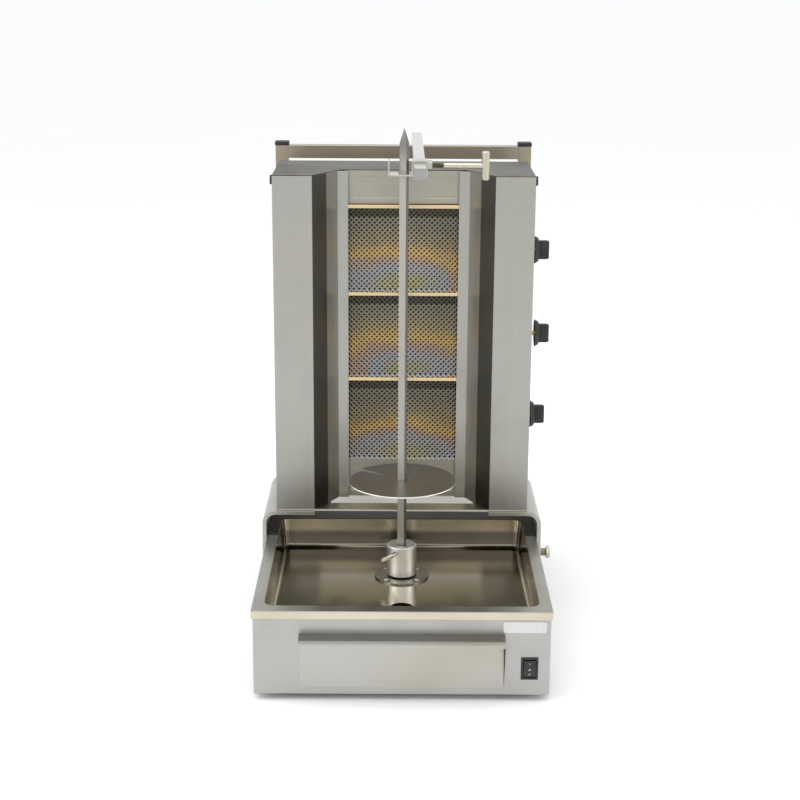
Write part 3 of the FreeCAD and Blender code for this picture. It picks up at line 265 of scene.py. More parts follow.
class Finish:
    """A material made of nodes that read the piece's own coordinates."""

    def __init__(self, name):
        self.material = bpy.data.materials.new(name)
        self.material.use_nodes = True
        self.tree = self.material.node_tree
        self.tree.nodes.clear()
        self.place = self.node("ShaderNodeTexCoord", output="Object")
        self.axes = [self.node("ShaderNodeSeparateXYZ", {}, {0: self.place}, output=i) for i in range(3)]

    def node(self, kind, settings=None, inputs=None, output=0):
        """Adds a node: its settings first, then the values or links of its sockets."""
        node = self.tree.nodes.new(kind)
        for key, setting in (settings or {}).items():
            if key == "stops":
                ramp = node.color_ramp
                while len(ramp.elements) < len(setting):
                    ramp.elements.new(0.5)
                for element, (where, colour) in zip(ramp.elements, setting):
                    element.position, element.color = where, (*colour, 1)
            else:
                setattr(node, key, setting)
        for key, given in (inputs or {}).items():
            if isinstance(given, Value):
                self.tree.links.new(given.socket, node.inputs[key])
            elif isinstance(given, tuple) and node.inputs[key].type == "RGBA":
                node.inputs[key].default_value = (*given, 1)
            else:
                node.inputs[key].default_value = given
        return Value(self, node.outputs[output])

    def noise(self, frequency, detail=3.0, roughness=0.55, stretch=(1, 1, 1)):
        place = self.node("ShaderNodeMapping", {}, {"Vector": self.place, "Scale": stretch})
        return self.node("ShaderNodeTexNoise", {}, {
            "Vector": place, "Scale": frequency, "Detail": detail, "Roughness": roughness})

    def between(self, value, low, high, to_low=0.0, to_high=1.0):
        """value's way from low to high, eased, as a number from to_low to to_high."""
        return self.node("ShaderNodeMapRange", {"interpolation_type": "SMOOTHSTEP"}, {
            "Value": value, "From Min": low, "From Max": high, "To Min": to_low, "To Max": to_high})

    def ramp(self, value, stops):
        return self.node("ShaderNodeValToRGB", {"stops": stops}, {"Fac": value})

    def blend(self, factor, first, second):
        return self.node("ShaderNodeMix", {"data_type": "RGBA"}, {0: factor, 6: first, 7: second}, output=2)

    def shaded(self, colour, amount):
        """A colour times a number."""
        return self.node("ShaderNodeVectorMath", {"operation": "SCALE"}, {0: colour, "Scale": amount})

    def bump(self, height, depth):
        return self.node("ShaderNodeBump", {}, {"Height": height, "Distance": depth, "Strength": 1.0})

    def surface(self, **sockets):
        """Ends the finish in one shader. Socket names are written with _ for spaces."""
        shader = self.node("ShaderNodeBsdfPrincipled", {}, {
            key.replace("_", " "): given for key, given in sockets.items()})
        output = self.tree.nodes.new("ShaderNodeOutputMaterial")
        self.tree.links.new(shader.socket, output.inputs["Surface"])
        return self.material


ALONG = {"x": (4, 1400, 1400), "y": (1400, 4, 1400), "z": (1400, 1400, 4)}
STREAK = {"x": (2, 160, 160), "y": (160, 2, 160), "z": (160, 160, 2)}


def brushed(name, colour, along="z", roughness=0.30, film=(0.40, 0.34, 0.22), film_amount=0.15, depth=2e-5,
            darker=None):
    """Brushed stainless sheet: fine grain, wider streaks, hand smudges and a thin uneven film of use.
    darker, if given, makes a further number that the colour is multiplied by: painted shade on the wings, the
    drawer grip and the arm's end, and a darker skewer tip."""
    steel = Finish(name)
    grain = steel.noise(1.0, 2.0, 0.6, ALONG[along])
    streaks = steel.noise(1.0, 2.0, 0.5, STREAK[along])
    smudge = steel.between(steel.noise(7.0, 5.0, 0.62), 0.45, 0.72)
    cloud = steel.noise(3.1, 4.0, 0.6)
    specks = steel.between(steel.noise(420.0, 2.0), 0.70, 0.78)
    tone = 0.93 + 0.07 * grain + 0.08 * streaks - 0.05 * smudge - 0.10 * specks
    if darker is not None:
        tone = tone * darker(steel)
    metal = steel.blend(steel.between(cloud, 0.42, 0.75) * film_amount, colour, film)
    rough = roughness + 0.10 * grain + 0.08 * smudge + 0.05 * streaks - 0.06
    return steel.surface(Base_Color=steel.shaded(metal, tone), Metallic=1.0, Roughness=rough,
                         Normal=steel.bump(grain + 0.6 * streaks, depth))


def moulded(name, colour, roughness=0.42, grain=900.0, depth=2.5e-5):
    """Moulded black plastic: fine spark texture, rubbed patches and a little dust."""
    plastic = Finish(name)
    texture = plastic.noise(grain, 3.0, 0.6)
    rubbed = plastic.between(plastic.noise(60.0, 4.0), 0.50, 0.70)
    dust = plastic.between(plastic.noise(1500.0, 2.0), 0.68, 0.76)
    pale = tuple(min(1.0, part * 2.2 + 0.05) for part in colour)
    body = plastic.blend(0.10 * rubbed + 0.20 * dust, colour, pale)
    return plastic.surface(Base_Color=body, Roughness=roughness - 0.10 * rubbed + 0.12 * texture,
                           Normal=plastic.bump(texture, depth))


def rubber(name):
    gum = Finish(name)
    texture = gum.noise(700.0, 4.0)
    bloom = gum.between(gum.noise(90.0, 4.0), 0.45, 0.75)
    return gum.surface(Base_Color=gum.blend(bloom * 0.4, (0.028, 0.027, 0.026), (0.085, 0.083, 0.08)),
                       Roughness=0.62 + 0.2 * texture, Normal=gum.bump(texture, 4e-5))


def turned(name, colour, roughness=0.22):
    """Turned aluminium: fine rings round the piece and a few handling marks."""
    metal = Finish(name)
    rings = metal.noise(1.0, 2.0, 0.6, (6, 6, 2600))
    marks = metal.between(metal.noise(70.0, 5.0, 0.65), 0.52, 0.72)
    nicks = metal.between(metal.noise(600.0, 2.0), 0.69, 0.76)
    tone = 0.94 + 0.09 * rings - 0.10 * marks - 0.15 * nicks
    return metal.surface(Base_Color=metal.shaded(colour, tone), Metallic=1.0,
                         Roughness=roughness + 0.12 * rings + 0.12 * marks,
                         Normal=metal.bump(rings, 2.5e-5))


def plated(name, colour, roughness=0.26, warm=(0.46, 0.40, 0.28)):
    """Zinc-plated small steel: mottled, with warmer patches, scuffed."""
    metal = Finish(name)
    mottle = metal.noise(160.0, 4.0, 0.6)
    scuffs = metal.between(metal.noise(520.0, 3.0), 0.60, 0.72)
    tint = metal.blend(metal.between(mottle, 0.45, 0.70) * 0.45, colour, warm)
    return metal.surface(Base_Color=metal.shaded(tint, 1.02 - 0.18 * scuffs), Metallic=1.0,
                         Roughness=roughness + 0.16 * mottle + 0.12 * scuffs,
                         Normal=metal.bump(mottle + 0.4 * scuffs, 3e-5))


def heat_tinted(name):
    """Mesh guard steel that has run hot: rings of olive, bluish grey, brown and gold spread up from the
    foot of each guard, with painted shade on the slope under its golden top lip and on its side slopes."""
    metal = Finish(name)
    clouds = metal.noise(11.0, 3.0, 0.55)
    spots = metal.noise(75.0, 3.0, 0.6)
    pitch = (guard_high.z - guard_low.z + 1 * MM) / 3
    up = metal.node("ShaderNodeMath", {"operation": "MODULO"}, {0: metal.axes[2] - guard_low.z, 1: pitch})
    rise = (up * (1 / pitch) - 0.10) * 4
    side = abs(metal.axes[0]) * (1 / guard_high.x)
    distance = (rise * rise + side * side) ** 0.5
    tint = metal.ramp(0.27 * distance + 0.34 * clouds + 0.08 * spots - 0.21, [
        (0.05, (0.33, 0.30, 0.17)), (0.20, (0.30, 0.31, 0.33)), (0.28, (0.36, 0.27, 0.21)),
        (0.37, (0.46, 0.33, 0.14)), (0.52, (0.28, 0.235, 0.155)), (0.75, (0.19, 0.175, 0.14))])
    lip = pitch - 1 * MM - GUARD_LIP
    # painted shade on the sloped band under the top lip
    slope = metal.between(up, lip - SLOPES["top"], lip - SLOPES["top"] + 1 * MM) * metal.between(
        up, lip, lip - 1 * MM)
    # the lip is golden; the slope band and the side slopes get painted shade
    tint = metal.shaded(metal.blend(metal.between(up, lip - 0.6 * MM, lip), tint, (0.72, 0.56, 0.32)),
                        1 - 0.52 * slope - 0.25 * metal.between(side, 0.93, 0.96))
    grain = metal.noise(900.0, 3.0)
    return metal.surface(Base_Color=metal.shaded(tint, 0.85 + 0.3 * grain), Metallic=1.0,
                         Roughness=0.28 + 0.15 * spots, Normal=metal.bump(grain, 3e-5))


def cut_plate(name, colour, highlight_colour, radius):
    """Rolled plate with a cut edge lightened to near white: a painted highlight."""
    plate = Finish(name)
    grain = plate.noise(1.0, 2.0, 0.6, ALONG["x"])
    stains = plate.between(plate.noise(26.0, 5.0, 0.65), 0.45, 0.75)
    scratches = plate.between(plate.noise(1.0, 3.0, 0.7, (30, 900, 900)), 0.62, 0.70)
    out = (plate.axes[0] * plate.axes[0] + plate.axes[1] * plate.axes[1]) ** 0.5
    # painted highlight along the cut edge
    edge = plate.between(out, radius - 0.5 * MM, radius - 0.2 * MM)
    tone = 0.92 + 0.12 * grain - 0.12 * stains + 0.18 * scratches
    return plate.surface(Base_Color=plate.blend(edge, plate.shaded(colour, tone), highlight_colour), Metallic=1.0,
                         Roughness=0.30 + 0.12 * stains + 0.06 * grain, Normal=plate.bump(grain, 1.5e-5))


def ceramic(name):
    """Porous burner tile, browned unevenly."""
    clay = Finish(name)
    pores = clay.between(clay.noise(800.0, 2.0), 0.40, 0.60)
    patches = clay.noise(22.0, 4.0)
    body = clay.blend(clay.between(patches, 0.35, 0.65), (0.115, 0.085, 0.055), (0.19, 0.15, 0.10))
    return clay.surface(Base_Color=clay.shaded(body, 0.55 + 0.5 * pores), Roughness=0.85 + 0.1 * pores,
                        Normal=clay.bump(pores, 2e-4))


def painted(name, colour, roughness=0.4):
    """Sprayed paint: slight orange peel, with grime in patches."""
    paint = Finish(name)
    peel = paint.noise(420.0, 2.0)
    grime = paint.between(paint.noise(24.0, 5.0, 0.65), 0.48, 0.75)
    dull = tuple(part * 0.6 for part in colour)
    return paint.surface(Base_Color=paint.blend(grime * 0.6, colour, dull),
                         Roughness=roughness + 0.2 * grime + 0.08 * peel, Normal=paint.bump(peel, 6e-5))


def printed(name):
    """The pale marks on the switch, a little worn."""
    ink = Finish(name)
    wear = ink.between(ink.noise(2200.0, 3.0), 0.55, 0.75)
    return ink.surface(Base_Color=ink.blend(wear * 0.6, (0.62, 0.62, 0.60), (0.20, 0.20, 0.20)),
                       Roughness=0.5 + 0.2 * wear)


def wing_painted_shade(steel):
    """The folded wings beside the burners carry painted shade: darkest on the outer fold and towards the
    foot, with a painted highlight on the inner fold.
    """
    across = abs(steel.axes[0])
    outer = steel.between(across, FOLD_OUT - 1.5 * MM, FOLD_OUT) * steel.between(
        across, WING_OUT, WING_OUT - 1.0 * MM)
    inner = steel.between(across, FOLD_IN - 0.5 * MM, FOLD_IN + 0.5 * MM) * steel.between(
        across, FOLD_OUT, FOLD_OUT - 1.5 * MM)
    foot = steel.between(steel.axes[2], column_low.z + 90 * MM, column_low.z)
    return 1 - 0.66 * outer + 0.16 * inner - 0.26 * foot


def grip_shade(steel):
    """The drawer's front carries painted shade just under the edge of its grip."""
    return 1 - 0.42 * steel.between(steel.axes[2], DRAWER_TOP - 14 * MM, DRAWER_TOP - 2 * MM)


def arm_shade(steel):
    """The closed end of the arm carries painted shade, darker than its sides."""
    return 1 - 0.38 * steel.between(steel.axes[1], ARM_END + 0.8 * MM, ARM_END + 0.2 * MM)


def tip_shade(steel):
    """The skewer darkens towards its point."""
    return 1 - 0.45 * steel.between(steel.axes[2], SKEWER_END - 70 * MM, SKEWER_END - 25 * MM)


def pan_steel(name):
    """The drip tray: a polished pan with patches of a thin brown film, painted shade darkening it towards the
    back and painted highlights on its back wall and front hem, and a brighter brushed rim with a painted
    shadow where it lies under the heater."""
    steel = Finish(name)
    depth, height = steel.axes[1], steel.axes[2]
    grain = steel.noise(1.0, 2.0, 0.6, ALONG["x"])
    smudge = steel.between(steel.noise(7.0, 5.0, 0.62), 0.45, 0.72)
    cloud = steel.between(steel.noise(4.0, 5.0, 0.62), 0.45, 0.75)
    rim = steel.between(height, TRAY_TOP - 2.5 * MM, TRAY_TOP - 0.8 * MM)
    pan = 1 - rim
    # painted shadow: the rim turns near black and loses its shine where it lies under the heater's front
    under_heater_shade = rim * steel.between(depth + 6 * MM * cloud, HEATER_FRONT - 6 * MM, HEATER_FRONT + 2 * MM)
    # painted shade: the pan darkens towards the back
    back_shade = pan * steel.between(depth, -60 * MM, 60 * MM)
    # painted highlight: these two masks lighten the high part of the pan's back wall
    high = steel.between(height, TRAY_TOP - 30 * MM, TRAY_TOP - 18 * MM)
    wall_highlight = pan * high * steel.between(depth, 142 * MM, 147 * MM)
    # painted highlight along the tray's front hem
    hem = steel.between(depth, TRAY_FRONT + 0.9 * MM, TRAY_FRONT + 0.3 * MM)
    tone = 0.96 + 0.05 * grain - 0.05 * smudge + 0.30 * pan - 0.66 * back_shade + 1.2 * wall_highlight + 0.12 * hem
    clean = steel.blend(pan, (0.40, 0.395, 0.365), (0.42, 0.38, 0.31))
    filmed = steel.blend(cloud * 0.3, clean, (0.26, 0.21, 0.14))
    metal = steel.blend(under_heater_shade, steel.shaded(filmed, tone), (0.035, 0.028, 0.018))
    return steel.surface(Base_Color=metal, Metallic=1 - 0.9 * under_heater_shade,
                         Roughness=0.13 + 0.15 * rim + 0.22 * under_heater_shade + 0.06 * smudge + 0.04 * grain,
                         Normal=steel.bump(grain, 6e-6))


# where the sheets fold and end, which the finishes follow
guard_low, guard_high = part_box("mesh_guards")
column_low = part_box("column_right")[0]
FOLD_IN = column_low.x + 19 * MM
FOLD_OUT = FOLD_IN + 19.5 * MM
WING_OUT = FOLD_OUT + 23.5 * MM
TRAY_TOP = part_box("rear_deck")[1].z
TRAY_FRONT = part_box("drip_tray")[0].y
HEATER_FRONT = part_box("heater_floor")[0].y
DRAWER_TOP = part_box("drawer_front")[1].z
ARM_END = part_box("arm")[0].y
SKEWER_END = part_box("skewer")[1].z
GUARD_LIP = 5.6 * MM
SLOPES = {"side": 6 * MM, "foot": 4 * MM, "top": 17 * MM}

PANEL = brushed("panel_steel", (0.42, 0.415, 0.40), "x", 0.34, film_amount=0.10)
DRAWER = brushed("drawer_steel", (0.45, 0.44, 0.41), "x", 0.33, film=(0.40, 0.355, 0.24), film_amount=0.5,
                 darker=grip_shade)
COLUMN = brushed("column_steel", (0.385, 0.38, 0.35), "z", 0.36, film_amount=0.12, darker=wing_painted_shade)
SHELL = brushed("shell_steel", (0.385, 0.38, 0.35), "z", 0.36, film_amount=0.12)
LEDGE = brushed("ledge_steel", (0.66, 0.62, 0.50), "x", 0.30, film_amount=0.25)
BURNER_PANEL = brushed("burner_panel_steel", (0.37, 0.355, 0.30), "x", 0.38, film=(0.42, 0.33, 0.16),
                       film_amount=0.35)
LID = brushed("lid_steel", (0.06, 0.05, 0.035), "x", 0.36, film_amount=0.05)
FRAME_STEEL = brushed("frame_steel", (0.35, 0.31, 0.228), "z", 0.28, film_amount=0.30)
CROSS_STEEL = brushed("cross_steel", (0.38, 0.335, 0.265), "x", 0.28, film_amount=0.30)
ARM_STEEL = brushed("arm_steel", (0.60, 0.60, 0.585), "y", 0.26, film_amount=0.12, darker=arm_shade)
BRACKET = brushed("bracket_steel", (0.42, 0.41, 0.375), "y", 0.30, film_amount=0.25)
TRAY = pan_steel("tray_steel")
DECK = brushed("deck_steel", (0.44, 0.43, 0.39), "x", 0.28, film_amount=0.2)
SKEWER = brushed("skewer_steel", (0.36, 0.35, 0.32), "z", 0.42, film_amount=0.12, darker=tip_shade)
# the disc's cut edge gets a near-white painted highlight
DISC = cut_plate("disc_steel", (0.38, 0.37, 0.36), (0.95, 0.95, 0.93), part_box("meat_disc")[1].x)
CLAMP = brushed("clamp_steel", (0.50, 0.485, 0.43), "y", 0.24, film_amount=0.3)
HUB = turned("hub_aluminium", (0.92, 0.915, 0.88), 0.36)
FLANGE = turned("flange_aluminium", (0.25, 0.233, 0.20), 0.22)
BRIGHT = plated("fastener_zinc", (0.55, 0.54, 0.50))
HANDLE = plated("handle_nickel", (0.55, 0.51, 0.42), 0.22)
DARK_ZINC = plated("thread_zinc", (0.22, 0.19, 0.13), 0.35)
GUARD = heat_tinted("guard_steel")
TILE = ceramic("tile_ceramic")
CASE = painted("case_enamel", (0.03, 0.028, 0.026), 0.6)
BRASS = plated("valve_brass", (0.62, 0.44, 0.16), 0.24, (0.35, 0.24, 0.10))
PIPE = painted("pipe_primer", (0.42, 0.41, 0.38), 0.35)
MOTOR = painted("motor_paint", (0.05, 0.055, 0.065), 0.4)
GALVANISED = plated("inner_zinc", (0.50, 0.51, 0.51), 0.34, (0.42, 0.43, 0.44))
BLACK = moulded("black_plastic", (0.009, 0.009, 0.009), 0.5)
SWITCH = moulded("switch_plastic", (0.013, 0.013, 0.014), 0.30, 1400.0, 1e-5)
FOOT = rubber("foot_rubber")
BADGE = brushed("badge_metal", (0.60, 0.60, 0.60), "x", 0.25, film_amount=0.05)
MARKS = printed("switch_marks")


# ---------------------------------------------------------------- base

def make_base():
    for node, material, width in (
            ("front_panel", PANEL, 0.45), ("side_panel_left", PANEL, 0.45), ("side_panel_right", PANEL, 0.45),
            ("rear_panel", PANEL, 0.45), ("base_floor", PANEL, 0.3), ("rear_deck", DECK, 0.35),
            ("drip_tray", TRAY, 0.9), ("drawer_box", DRAWER, 0.3), ("switch_bezel", SWITCH, 0.9),
            ("blank_badge", BADGE, 0.3), ("cable_gland", BLACK, 0.8)):
        made_sheet(node, material, width * MM, 3)
    made_sheet("drawer_front", DRAWER, 0.55 * MM, 3)


def make_feet():
    """Round rubber feet, each with a recessed screw seat underneath and a rolled lower edge."""
    low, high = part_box("feet")
    radius = 12 * MM
    foot = cylinder("foot", radius, (low.x + radius, low.y + radius, low.z), (0, 0, 1), high.z - low.z, 40)
    with editing(foot, "FACE"):
        select(foot, "faces", facing((0, 0, -1)))
        bpy.ops.transform.resize(value=(0.88, 0.88, 1))
        bpy.ops.mesh.inset(thickness=3 * MM)
        bpy.ops.mesh.inset(thickness=1.5 * MM)
        bpy.ops.transform.translate(value=(0, 0, 3 * MM))
    feet = four_times(soften(foot, 1.0 * MM, 3), low, high, radius)
    finish_piece(unite("rubber_feet", feet), FOOT, "feet")


def make_rocker():
    """A convex rocker with the marks I, 0 and II."""
    rocker = sheet_copy("rocker", "moulding")
    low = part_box("rocker")[0]
    soften(rocker, 1.1 * MM, 4, 8)
    rocker.data.materials.append(SWITCH)
    rocker.data.materials.append(MARKS)
    middle = middle_of("rocker")
    face = low.y - 0.05 * MM
    crown, half_height, fall = 3 * MM, 15 * MM, 3.1 * MM
    slope = math.atan2(fall, half_height - crown)
    marks = []
    for offsets, height in (((0,), 9.2 * MM), ((-1.1 * MM, 1.1 * MM), -9.2 * MM)):
        for offset in offsets:
            back = (abs(height) - crown) * math.tan(slope)
            x, y, z = middle.x + offset, face + back, middle.z + height
            mark = block("mark", (x - 0.35 * MM, y - 0.1 * MM, z - 1.4 * MM),
                         (x + 0.35 * MM, y + 0.3 * MM, z + 1.4 * MM))
            with editing(mark, "FACE"):
                bpy.ops.mesh.select_all(action="SELECT")
                bpy.ops.transform.rotate(value=math.copysign(slope, height), orient_axis="X",
                                         center_override=(middle.x, y, z))
            marks.append(mark)
    bpy.ops.object.select_all(action="DESELECT")
    bpy.ops.mesh.primitive_torus_add(major_radius=1.5 * MM, minor_radius=0.33 * MM, major_segments=28,
                                     minor_segments=8, location=(middle.x, face + 0.05 * MM, middle.z),
                                     rotation=(RIGHT_ANGLE, 0, 0))
    marks.append(named("mark"))
    for mark in marks:
        mark.data.materials.append(MARKS)
    finish_piece(unite("rocker_moulding", [rocker] + marks), SWITCH, "rocker")


def make_badge_screws():
    """Nothing is printed on the badge: it is held by two small rivets."""
    low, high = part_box("blank_badge")
    middle = middle_of("blank_badge")
    rivets = []
    for x in (low.x + 5 * MM, high.x - 5 * MM):
        rivet = cylinder("rivet", 1.5 * MM, (x, low.y + 0.2 * MM, middle.z), (0, -1, 0), 0.8 * MM, 20)
        rivets.append(soften(rivet, 0.4 * MM, 3))
    piece = unite("badge_rivets", rivets)
    piece.data.materials.append(BRIGHT)
    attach(piece, "base")


# ---------------------------------------------------------------- heater

def make_heater():
    for node, material, width in (
            ("heater_shell", SHELL, 0.4), ("column_left", COLUMN, 0.5), ("column_right", COLUMN, 0.5),
            ("heater_lid", LID, 0.4), ("bracket_left", BRACKET, 0.5),
            ("bracket_right", BRACKET, 0.5)):
        made_sheet(node, material, width * MM, 3)


def make_ledge():
    """The heater's floor: its front ledge is folded once along its length and ends in a turned-down hem."""
    ledge = sheet_copy("heater_floor", "fabrication")
    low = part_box("heater_floor")[0]
    fold, hem, end = low.y + 24 * MM, low.y + 36 * MM, low.y + 46 * MM
    half_opening, fold_drop, hem_drop = 134.5 * MM, 0.8 * MM, 4.5 * MM
    with editing(ledge, "FACE"):
        for depth in (fold, fold + 1.2 * MM, hem):
            bpy.ops.mesh.select_all(action="SELECT")
            bpy.ops.mesh.bisect(plane_co=(0, depth, 0), plane_no=(0, 1, 0))
    for vertex in ledge.data.vertices:
        spot = vertex.co
        if abs(spot.x) < half_opening and spot.y < end + 0.1 * MM:
            if spot.y > hem + 0.1 * MM:
                spot.z -= hem_drop
            elif spot.y > fold + 0.1 * MM:
                spot.z -= fold_drop
    finish_piece(soften(ledge, 0.3 * MM, 2), LEDGE, "heater_floor")


def make_burner_panels():
    """The blank panels above and below the burners are shallow pans with a folded edge."""
    for node in ("upper_panel", "lower_panel"):
        low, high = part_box(node)
        panel = block(node, low, high)
        with editing(panel, "FACE"):
            select(panel, "faces", facing((0, -1, 0)))
            bpy.ops.mesh.inset(thickness=10.5 * MM)
            bpy.ops.mesh.inset(thickness=0.5 * MM)
            bpy.ops.transform.translate(value=(0, 0.5 * MM, 0))
        finish_piece(soften(panel, 0.2 * MM, 2, 20), BURNER_PANEL, node)
        panel.name = panel.data.name = node + "_pan"


HOLE_ACROSS = 9.5 * MM
HOLE_UP = 9.4 * MM
GUARD_RECESS = 4.2 * MM


def expanded_sheet(name, low, high):
    """A flat sheet of staggered holes between strands that fall away to the back, cut to a rectangle."""
    across, up = HOLE_ACROSS / math.sqrt(2), HOLE_UP / math.sqrt(2)
    cells = 2 * math.ceil(((high.x - low.x) / across + (high.z - low.z) / up) / (2 * math.sqrt(2)) + 1)
    bpy.ops.object.select_all(action="DESELECT")
    bpy.ops.mesh.primitive_grid_add(x_subdivisions=cells, y_subdivisions=cells, size=cells,
                                    rotation=(0, 0, math.pi / 4))
    sheet = named(name)
    sheet.scale = (across, up, 1)
    sheet.rotation_euler = (RIGHT_ANGLE, 0, 0)
    sheet.location = ((low.x + high.x) / 2, low.y - GUARD_RECESS, (low.z + high.z) / 2)
    sheet = named(name)
    with editing(sheet, "FACE"):
        bpy.ops.mesh.select_all(action="SELECT")
        bpy.ops.mesh.inset(thickness=1.25 * MM, depth=-0.5 * MM, use_individual=True)
        bpy.ops.mesh.inset(thickness=1.05 * MM, depth=-1.2 * MM, use_individual=True)
        bpy.ops.mesh.delete(type="FACE")
        for point, normal in (((low.x, 0, 0), (-1, 0, 0)), ((high.x, 0, 0), (1, 0, 0)),
                              ((0, 0, low.z), (0, 0, -1)), ((0, 0, high.z - GUARD_LIP), (0, 0, 1))):
            bpy.ops.mesh.select_all(action="SELECT")
            bpy.ops.mesh.bisect(plane_co=point, plane_no=normal, clear_outer=True)
        for point, normal in (((low.x + SLOPES["side"], 0, 0), (1, 0, 0)),
                              ((high.x - SLOPES["side"], 0, 0), (1, 0, 0)),
                              ((0, 0, low.z + SLOPES["foot"]), (0, 0, 1)),
                              ((0, 0, high.z - GUARD_LIP - SLOPES["top"]), (0, 0, 1))):
            bpy.ops.mesh.select_all(action="SELECT")
            bpy.ops.mesh.bisect(plane_co=point, plane_no=normal)
    return sheet


def make_guard(name, low, high):
    """One mesh guard: a shallow pan of expanded steel sheet with sloped borders and a solid top lip."""
    guard = expanded_sheet(name, low, high)
    for vertex in guard.data.vertices:
        spot = vertex.co
        inward = min((spot.x - low.x) / SLOPES["side"], (high.x - spot.x) / SLOPES["side"],
                     (spot.z - low.z) / SLOPES["foot"], (high.z - GUARD_LIP - spot.z) / SLOPES["top"], 1.0)
        spot.y += GUARD_RECESS * max(inward, 0.0)
    modify(guard, "SOLIDIFY", thickness=0.5 * MM, offset=-1)
    front = low.y - GUARD_RECESS
    top = block("lip", (low.x, front - 0.8 * MM, high.z - GUARD_LIP - 0.5 * MM),
                (high.x, front + 2.4 * MM, high.z))
    with editing(top, "FACE"):
        select(top, "faces", facing((0, 0, 1)))
        bpy.ops.transform.translate(value=(0, 1.2 * MM, 0))
    soften(top, 0.7 * MM, 3)
    return unite(name, [guard, top])


def make_guards():
    gap = 0.5 * MM
    pitch = (guard_high.z - guard_low.z + 2 * gap) / 3
    bottom = make_guard("mesh_guard_bottom", guard_low, Vector((guard_high.x, guard_high.y,
                                                                guard_low.z + pitch - 2 * gap)))
    bottom.data.materials.append(GUARD)
    others = [copy_of(bottom, f"mesh_guard_{place}", (0, 0, count * pitch))
              for count, place in enumerate(BURNERS) if count]
    for guard in [bottom] + others:
        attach(guard, "heater")
    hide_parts("mesh_guards")


def make_knobs():
    """The gas knobs: a bevelled collar, a waisted grip across it and a pale pointer line. One is modelled
    and copied to the others' places."""
    node = f"gas_knob_{BURNERS[0]}"
    low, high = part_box(node)
    middle = middle_of(node)
    radius = (high.z - low.z) / 2
    collar = cylinder("collar", radius, (low.x, middle.y, middle.z), (1, 0, 0), 6.5 * MM, 72)
    with editing(collar, "FACE"):
        select(collar, "faces", facing((1, 0, 0)))
        bpy.ops.transform.resize(value=(1, 0.86, 0.86))
        bpy.ops.mesh.inset(thickness=3.5 * MM)
        bpy.ops.transform.translate(value=(1.6 * MM, 0, 0))
        select(collar, "faces", facing((-1, 0, 0)))
        bpy.ops.mesh.inset(thickness=3.0 * MM)
        bpy.ops.transform.translate(value=(2.5 * MM, 0, 0))
    soften(collar, 0.8 * MM, 3, 20)
    grip = block("grip", (low.x + 5 * MM, middle.y - 6.5 * MM, middle.z - 16.5 * MM),
                 (high.x, middle.y + 6.5 * MM, middle.z + 16.5 * MM))
    with editing(grip, "EDGE"):
        bpy.ops.mesh.select_all(action="SELECT")
        bpy.ops.mesh.subdivide(number_cuts=3)
        select(grip, "verts", lambda vertex: abs(vertex.co.z - middle.z) < 9 * MM
               and abs(vertex.co.y - middle.y) > 6 * MM)
        bpy.ops.transform.resize(value=(1, 0.82, 1), center_override=tuple(middle))
        select(grip, "verts", lambda vertex: vertex.co.x > high.x - 0.1 * MM)
        bpy.ops.transform.resize(value=(1, 0.86, 0.95), center_override=tuple(middle))
    soften(grip, 1.6 * MM, 4, 40)
    pointer = block("pointer", (high.x - 0.8 * MM, middle.y - 0.5 * MM, middle.z + 5 * MM),
                    (high.x + 0.15 * MM, middle.y + 0.5 * MM, middle.z + 14 * MM))
    collar.data.materials.append(BLACK)
    grip.data.materials.append(BLACK)
    pointer.data.materials.append(MARKS)
    knob = unite(node + "_moulding", [collar, grip, soften(pointer, 0.1 * MM)])
    others = {f"gas_knob_{place}": middle_of(f"gas_knob_{place}") - middle for place in BURNERS[1:]}
    knobs = [(node, knob)] + [(other, copy_of(knob, other + "_moulding", offset))
                              for other, offset in others.items()]
    for owner, piece in knobs:
        finish_piece(piece, BLACK, owner)


PLUG_LENGTH = 4.5 * MM


def make_plugs():
    """Press-in plugs high on the heater's sides."""
    low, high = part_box("side_plugs")
    middle = middle_of("side_plugs")
    radius = (high.z - low.z) / 2
    plugs = []
    for side, edge in ((-1, low.x), (1, high.x)):
        plug = cylinder("plug", radius, (edge - side * PLUG_LENGTH, middle.y, middle.z), (side, 0, 0),
                        PLUG_LENGTH, 40)
        with editing(plug, "FACE"):
            select(plug, "faces", facing((side, 0, 0)))
            bpy.ops.mesh.inset(thickness=2.2 * MM)
            bpy.ops.transform.translate(value=(-side * 0.8 * MM, 0, 0))
        plugs.append(soften(plug, 0.7 * MM, 3))
    finish_piece(unite("side_plugs_moulding", plugs), BLACK, "side_plugs")


def hexagon_head(name, flats, start, axis, length):
    """A hexagon with its outer corners turned down."""
    head = cylinder(name, flats / 2 / math.cos(math.pi / 6), start, axis, length, 6)
    return soften(head, 0.7 * MM, 3)


WASHER = 1 * MM


def make_guide_bolts():
    """The bolts that the heater slides on, one on each side: shank, washer and hexagon head."""
    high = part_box("guide_bolts")[1]
    middle = middle_of("guide_bolts")
    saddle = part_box("bracket_right")[1].x
    shank_in = 236 * MM
    at = lambda x: (x, middle.y, middle.z)
    bolts = []
    for side in (-1, 1):
        axis = (side, 0, 0)
        shank = cylinder("shank", 4 * MM, at(side * shank_in), axis, saddle - shank_in, 32)
        washer = cylinder("washer", 5.8 * MM, at(side * saddle), axis, WASHER, 40)
        bolts += [soften(shank, 0.5 * MM), soften(washer, 0.2 * MM),
                  hexagon_head("head", 9.8 * MM, at(side * (saddle + WASHER)), axis,
                               high.x - saddle - WASHER)]
    finish_piece(unite("guide_bolts_set", bolts), BRIGHT, "guide_bolts")


